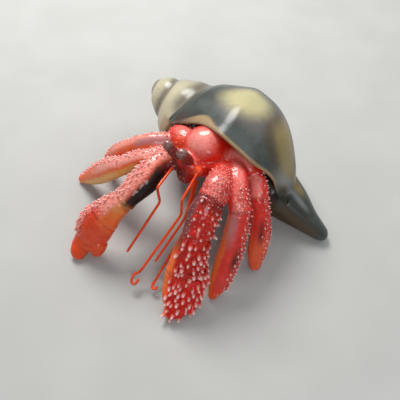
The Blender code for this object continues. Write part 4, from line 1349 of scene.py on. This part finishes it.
RED = (0.74, 0.016, 0.005)
DEEP_RED = (0.32, 0.007, 0.003)
ORANGE = (0.84, 0.155, 0.022)
TAN = (0.72, 0.42, 0.11)
PINK = (0.84, 0.34, 0.29)
MAUVE = (0.42, 0.19, 0.20)
SOOT = (0.008, 0.006, 0.005)
MAROON = (0.085, 0.012, 0.010)
PALE_TIP = (0.85, 0.65, 0.63)
SLATE = (0.028, 0.036, 0.028)
SLATE_BLUE = (0.066, 0.085, 0.076)
# pale grey of the painted glints on the slate
SLATE_GLINT = (0.26, 0.28, 0.26)
SLATE_PIT = (0.03, 0.03, 0.02)
OLIVE = (0.026, 0.026, 0.012)
HALO_BROWN = (0.115, 0.098, 0.088)
SHELL_BROWN = (0.095, 0.056, 0.020)
# pale grey-blue of the painted highlight along the canal
SHEEN_GREY = (0.27, 0.29, 0.28)
CREAM = (0.66, 0.59, 0.31)
SPIRE_CREAM = (0.68, 0.62, 0.42)
BROWN_GREY = (0.175, 0.150, 0.110)
SHELL_TAN = (0.34, 0.245, 0.075)
RIM_TAN = (0.50, 0.34, 0.165)
HOLLOW_BROWN = (0.075, 0.020, 0.012)
PINHOLE = (0.02, 0.018, 0.012)
EYE_BROWN = (0.190, 0.062, 0.050)
EYE_GLINT = (0.58, 0.44, 0.42)
STALK_MAROON = (0.12, 0.014, 0.010)
STALK_RED = (0.30, 0.024, 0.015)
ROOT_RED = (0.50, 0.026, 0.012)
ROOT_PINK = (0.46, 0.20, 0.18)
WIRE_ORANGE = (0.80, 0.066, 0.005)
WIRE_DARK = (0.36, 0.028, 0.010)
FLOOR_GREYS = ((0.42, 0.42, 0.405), (0.45, 0.45, 0.435))


def crab_paint(sprayed, casting):
    """Red enamel with airbrushed colours over it, some of them painted highlights, pale spine tips
    and dark creases, partly painted shade, varnished.
    """
    material, tree, shader = new_material("crab_paint", 0.55, 0.06, 0.12)
    place = tree.coordinates()
    masks = {name: tree.group(sprayed, Mask=tree.mask(name), Vector=place, Drift=0.7,
                              Droplets=0.9)["Mask"] for name in PAINTS if name != "grain"}
    clouds = tree.noise(place, 7.0, 4.0)
    colour = tree.mix(tree.ramp(clouds, 0.35, 0.7), DEEP_RED, RED)
    colour = tree.mix(0.65, colour, RED)
    for name, paint in (("orange", ORANGE), ("tan", TAN), ("pink", PINK), ("mauve", MAUVE),
                        ("maroon", MAROON)):
        colour = tree.mix(masks[name], colour, paint)
    grain = tree.mask("grain")
    pits = tree.cells(place, 1.7)
    flecks = tree.times(tree.ramp(pits, 0.42, 0.16), grain)
    colour = tree.mix(tree.times(flecks, 0.45), colour, PALE_TIP)
    # darker red between the granules: dark paint and painted shade in the hollows
    gaps = tree.times(tree.ramp(pits, 0.52, 0.72), grain)
    colour = tree.mix(tree.times(gaps, 0.55), colour, DEEP_RED)
    bend = tree.mask("bend")  # zero on the spines, which take no crease
    # darker red in the creases: airbrushed dark and painted shade
    crease = tree.times(tree.ramp(bend, 0.42, 0.12), tree.ramp(bend, 0.0, 0.02))
    colour = tree.mix(tree.times(crease, 0.35), colour, DEEP_RED)
    ridge = tree.ramp(bend, 0.62, 0.95)
    colour = tree.mix(tree.times(ridge, 0.15), colour, PINK)
    colour = tree.mix(masks["soot"], colour, SOOT)
    uneven = tree.times(tree.math("SUBTRACT", tree.noise(place, 1.1), 0.5), 0.5)
    brushed = tree.math("ADD", tree.mask("tip"), uneven)
    colour = tree.mix(tree.ramp(brushed, 0.16, 0.56, out=(0.0, 0.75)), colour, PINK)
    colour = tree.mix(tree.ramp(brushed, 0.52, 0.92, out=(0.0, 0.9)), colour, PALE_TIP)
    cast = tree.group(casting, Vector=place, Grain=0.9, Pinholes=0.0)
    granular = tree.times(tree.ramp(pits, 0.75, 0.1), grain)
    height = tree.math("ADD", cast["Height"], tree.times(granular, 0.9))
    roughness = tree.ramp(tree.noise(place, 2.5), 0.3, 0.7, out=(0.30, 0.50))
    wire_up(tree, shader, Base_Color=colour, Roughness=roughness,
            Normal=bumped(tree, height, 0.35, 0.8))
    return material


def shell_paint(sprayed, casting):
    """Slate airbrushed with cream, tan and brown, a pale rim and a dark red-brown hollow, with
    painted highlights on the canal and on the last whorl's top, and painted glints.
    """
    material, tree, shader = new_material("shell_paint", 0.6, 0.26, 0.35)
    place = tree.coordinates()
    masks = {name: tree.group(sprayed, Mask=tree.mask(name), Vector=place, Drift=0.35,
                              Droplets=0.55)["Mask"] for name in SHELL_PAINTS}
    clouds = tree.noise(place, 16.0, 5.0, 0.6)
    colour = tree.mix(tree.ramp(clouds, 0.38, 0.66), SLATE, SLATE_BLUE)
    drifts = tree.ramp(tree.noise(place, 26.0, 3.0), 0.52, 0.75, out=(0.0, 0.7))
    colour = tree.mix(drifts, colour, OLIVE)
    # pale specks on the slate: painted glints of the grainy varnish
    glint_specks = tree.ramp(tree.noise(place, 0.9, 2.0), 0.56, 0.72)
    colour = tree.mix(tree.times(glint_specks, 0.30), colour, SLATE_GLINT)
    colour = tree.mix(masks["halo"], colour, HALO_BROWN)
    for name, paint in (("olive", OLIVE), ("brown", SHELL_BROWN), ("tan", SHELL_TAN),
                        ("canal_sheen", SHEEN_GREY), ("cream", CREAM), ("spire", SPIRE_CREAM),
                        ("groove", BROWN_GREY), ("rim", RIM_TAN), ("inside", HOLLOW_BROWN)):
        colour = tree.mix(masks[name], colour, paint)
    pitted = tree.ramp(tree.noise(place, 0.8, 2.0), 0.60, 0.72)
    colour = tree.mix(tree.times(pitted, 0.21), colour, SLATE_PIT)
    cast = tree.group(casting, Vector=place, Grain=2.2, Pinholes=1.0)
    colour = tree.mix(tree.times(cast["Pinhole"], 0.8), colour, PINHOLE)
    roughness = tree.ramp(tree.noise(place, 2.0), 0.3, 0.7, out=(0.28, 0.44))
    wire_up(tree, shader, Base_Color=colour, Roughness=roughness,
            Normal=bumped(tree, cast["Height"], 0.7, 1.0))
    return material


def eye_paint(casting):
    """Very glossy dark brown with pale flecks, which are painted glints."""
    material, tree, shader = new_material("eye_gloss", 0.7, 0.08)
    place = tree.coordinates()
    # pale flecks: painted glints on the glossy eye
    flecks = tree.ramp(tree.cells(place, 1.0), 0.42, 0.16)
    rare = tree.ramp(tree.noise(place, 1.9), 0.42, 0.60)
    colour = tree.mix(tree.times(flecks, rare), EYE_BROWN, EYE_GLINT)
    cast = tree.group(casting, Vector=place, Grain=1.4, Pinholes=0.0)
    roughness = tree.ramp(tree.noise(place, 1.0), 0.3, 0.7, out=(0.10, 0.28))
    wire_up(tree, shader, Base_Color=colour, Roughness=roughness,
            Normal=bumped(tree, cast["Height"], 0.28, 0.9))
    return material


def stalk_paint(casting):
    """Dark maroon, redder towards the stalks' roots."""
    material, tree, shader = new_material("stalk_maroon", 0.35, 0.1)
    place = tree.coordinates()
    clouds = tree.ramp(tree.noise(place, 2.4, 4.0), 0.35, 0.7)
    colour = tree.mix(clouds, STALK_MAROON, STALK_RED)
    root = tree.mix(tree.ramp(tree.noise(place, 1.3), 0.5, 0.62), ROOT_RED, ROOT_PINK)
    colour = tree.mix(tree.mask("root"), colour, root)
    cast = tree.group(casting, Vector=place, Grain=1.0, Pinholes=0.0)
    roughness = tree.ramp(tree.noise(place, 1.4), 0.3, 0.7, out=(0.18, 0.34))
    wire_up(tree, shader, Base_Color=colour, Roughness=roughness,
            Normal=bumped(tree, cast["Height"], 0.3, 0.9))
    return material


def wire_paint(casting):
    """Orange-red enamel dipped over wire, thin and darker in places."""
    material, tree, shader = new_material("wire_enamel", 0.25, 0.1, 0.2)
    place = tree.coordinates()
    worn = tree.ramp(tree.noise(place, 5.0, 4.0), 0.45, 0.75)
    colour = tree.mix(tree.times(worn, 0.6), WIRE_ORANGE, WIRE_DARK)
    cast = tree.group(casting, Vector=place, Grain=0.6, Pinholes=0.0)
    roughness = tree.ramp(tree.noise(place, 1.5), 0.3, 0.7, out=(0.28, 0.45))
    wire_up(tree, shader, Base_Color=colour, Roughness=roughness,
            Normal=bumped(tree, cast["Height"], 0.12, 0.6))
    return material


def floor_paint():
    material, tree, shader = new_material("pale_floor")
    tone = tree.ramp(tree.noise(tree.coordinates(), 90.0, 2.0), 0.3, 0.7)
    shader.inputs["Roughness"].default_value = 0.8
    wire_up(tree, shader, Base_Color=tree.mix(tone, *FLOOR_GREYS))
    return material


# Studio

CAMERA_BACK = Vector((0.3687, -0.4394, 0.8192))
CAMERA_TARGET = Vector((0.0156, -0.0104, 0.045))
CAMERA_DISTANCE = 0.4232
CAMERA_LENS = 41.4

# Lights, all aimed at the middle of the floor: place, size, power and colour
LIGHTS = {
    "key": ((-0.70, 0.45, 1.00), 0.6, 19.0, (1.0, 0.98, 0.95)),
    "fill": ((0.75, -0.75, 0.95), 0.6, 5.5, (0.95, 0.97, 1.0)),
    "top": ((0.25, 0.75, 1.1), 0.9, 3.0, (0.97, 0.99, 1.0)),
}
SKY_COLOUR = (0.92, 0.96, 1.0, 1.0)
SKY_STRENGTH = 0.32
FLOOR_HALF = 3.0


def make_camera():
    camera = bpy.data.objects.new("camera", bpy.data.cameras.new("camera"))
    bpy.context.scene.collection.objects.link(camera)
    camera.data.lens = CAMERA_LENS
    camera.data.clip_start = 0.01
    camera.location = CAMERA_TARGET + CAMERA_BACK.normalized() * CAMERA_DISTANCE
    camera.rotation_mode = "QUATERNION"
    camera.rotation_quaternion = CAMERA_BACK.to_track_quat("Z", "Y")
    bpy.context.scene.camera = camera


def soft_light(name, place, size, power, colour):
    light = bpy.data.lights.new(name, "AREA")
    light.shape = "DISK"
    light.size = size
    light.energy = power
    light.color = colour
    item = bpy.data.objects.new(name, light)
    bpy.context.scene.collection.objects.link(item)
    item.location = place
    item.rotation_mode = "QUATERNION"
    item.rotation_quaternion = Vector(place).to_track_quat("Z", "Y")


def make_studio():
    mesh = bmesh.new()
    bmesh.ops.create_grid(mesh, x_segments=8, y_segments=8, size=FLOOR_HALF)
    data = bpy.data.meshes.new("floor")
    mesh.to_mesh(data)
    mesh.free()
    data.materials.append(floor_paint())
    floor = bpy.data.objects.new("floor", data)
    bpy.context.scene.collection.objects.link(floor)
    world = bpy.data.worlds.new("studio")
    world.use_nodes = True
    sky = world.node_tree.nodes["Background"]
    sky.inputs["Color"].default_value = SKY_COLOUR
    sky.inputs["Strength"].default_value = SKY_STRENGTH
    bpy.context.scene.world = world
    bpy.context.scene.view_settings.view_transform = "Standard"
    for name, (light_place, size, power, colour) in LIGHTS.items():
        soft_light(name, light_place, size, power, colour)


def main():
    make_camera()
    sprayed = sprayed_group()
    casting = casting_group()
    make_shell(shell_paint(sprayed, casting))
    crab = crab_paint(sprayed, casting)
    skin = make_skin(crab)
    make_spines(crab, skin)
    make_body_granules(crab, skin)
    make_eyes(stalk_paint(casting), eye_paint(casting))
    make_feelers(wire_paint(casting))
    make_studio()


main()
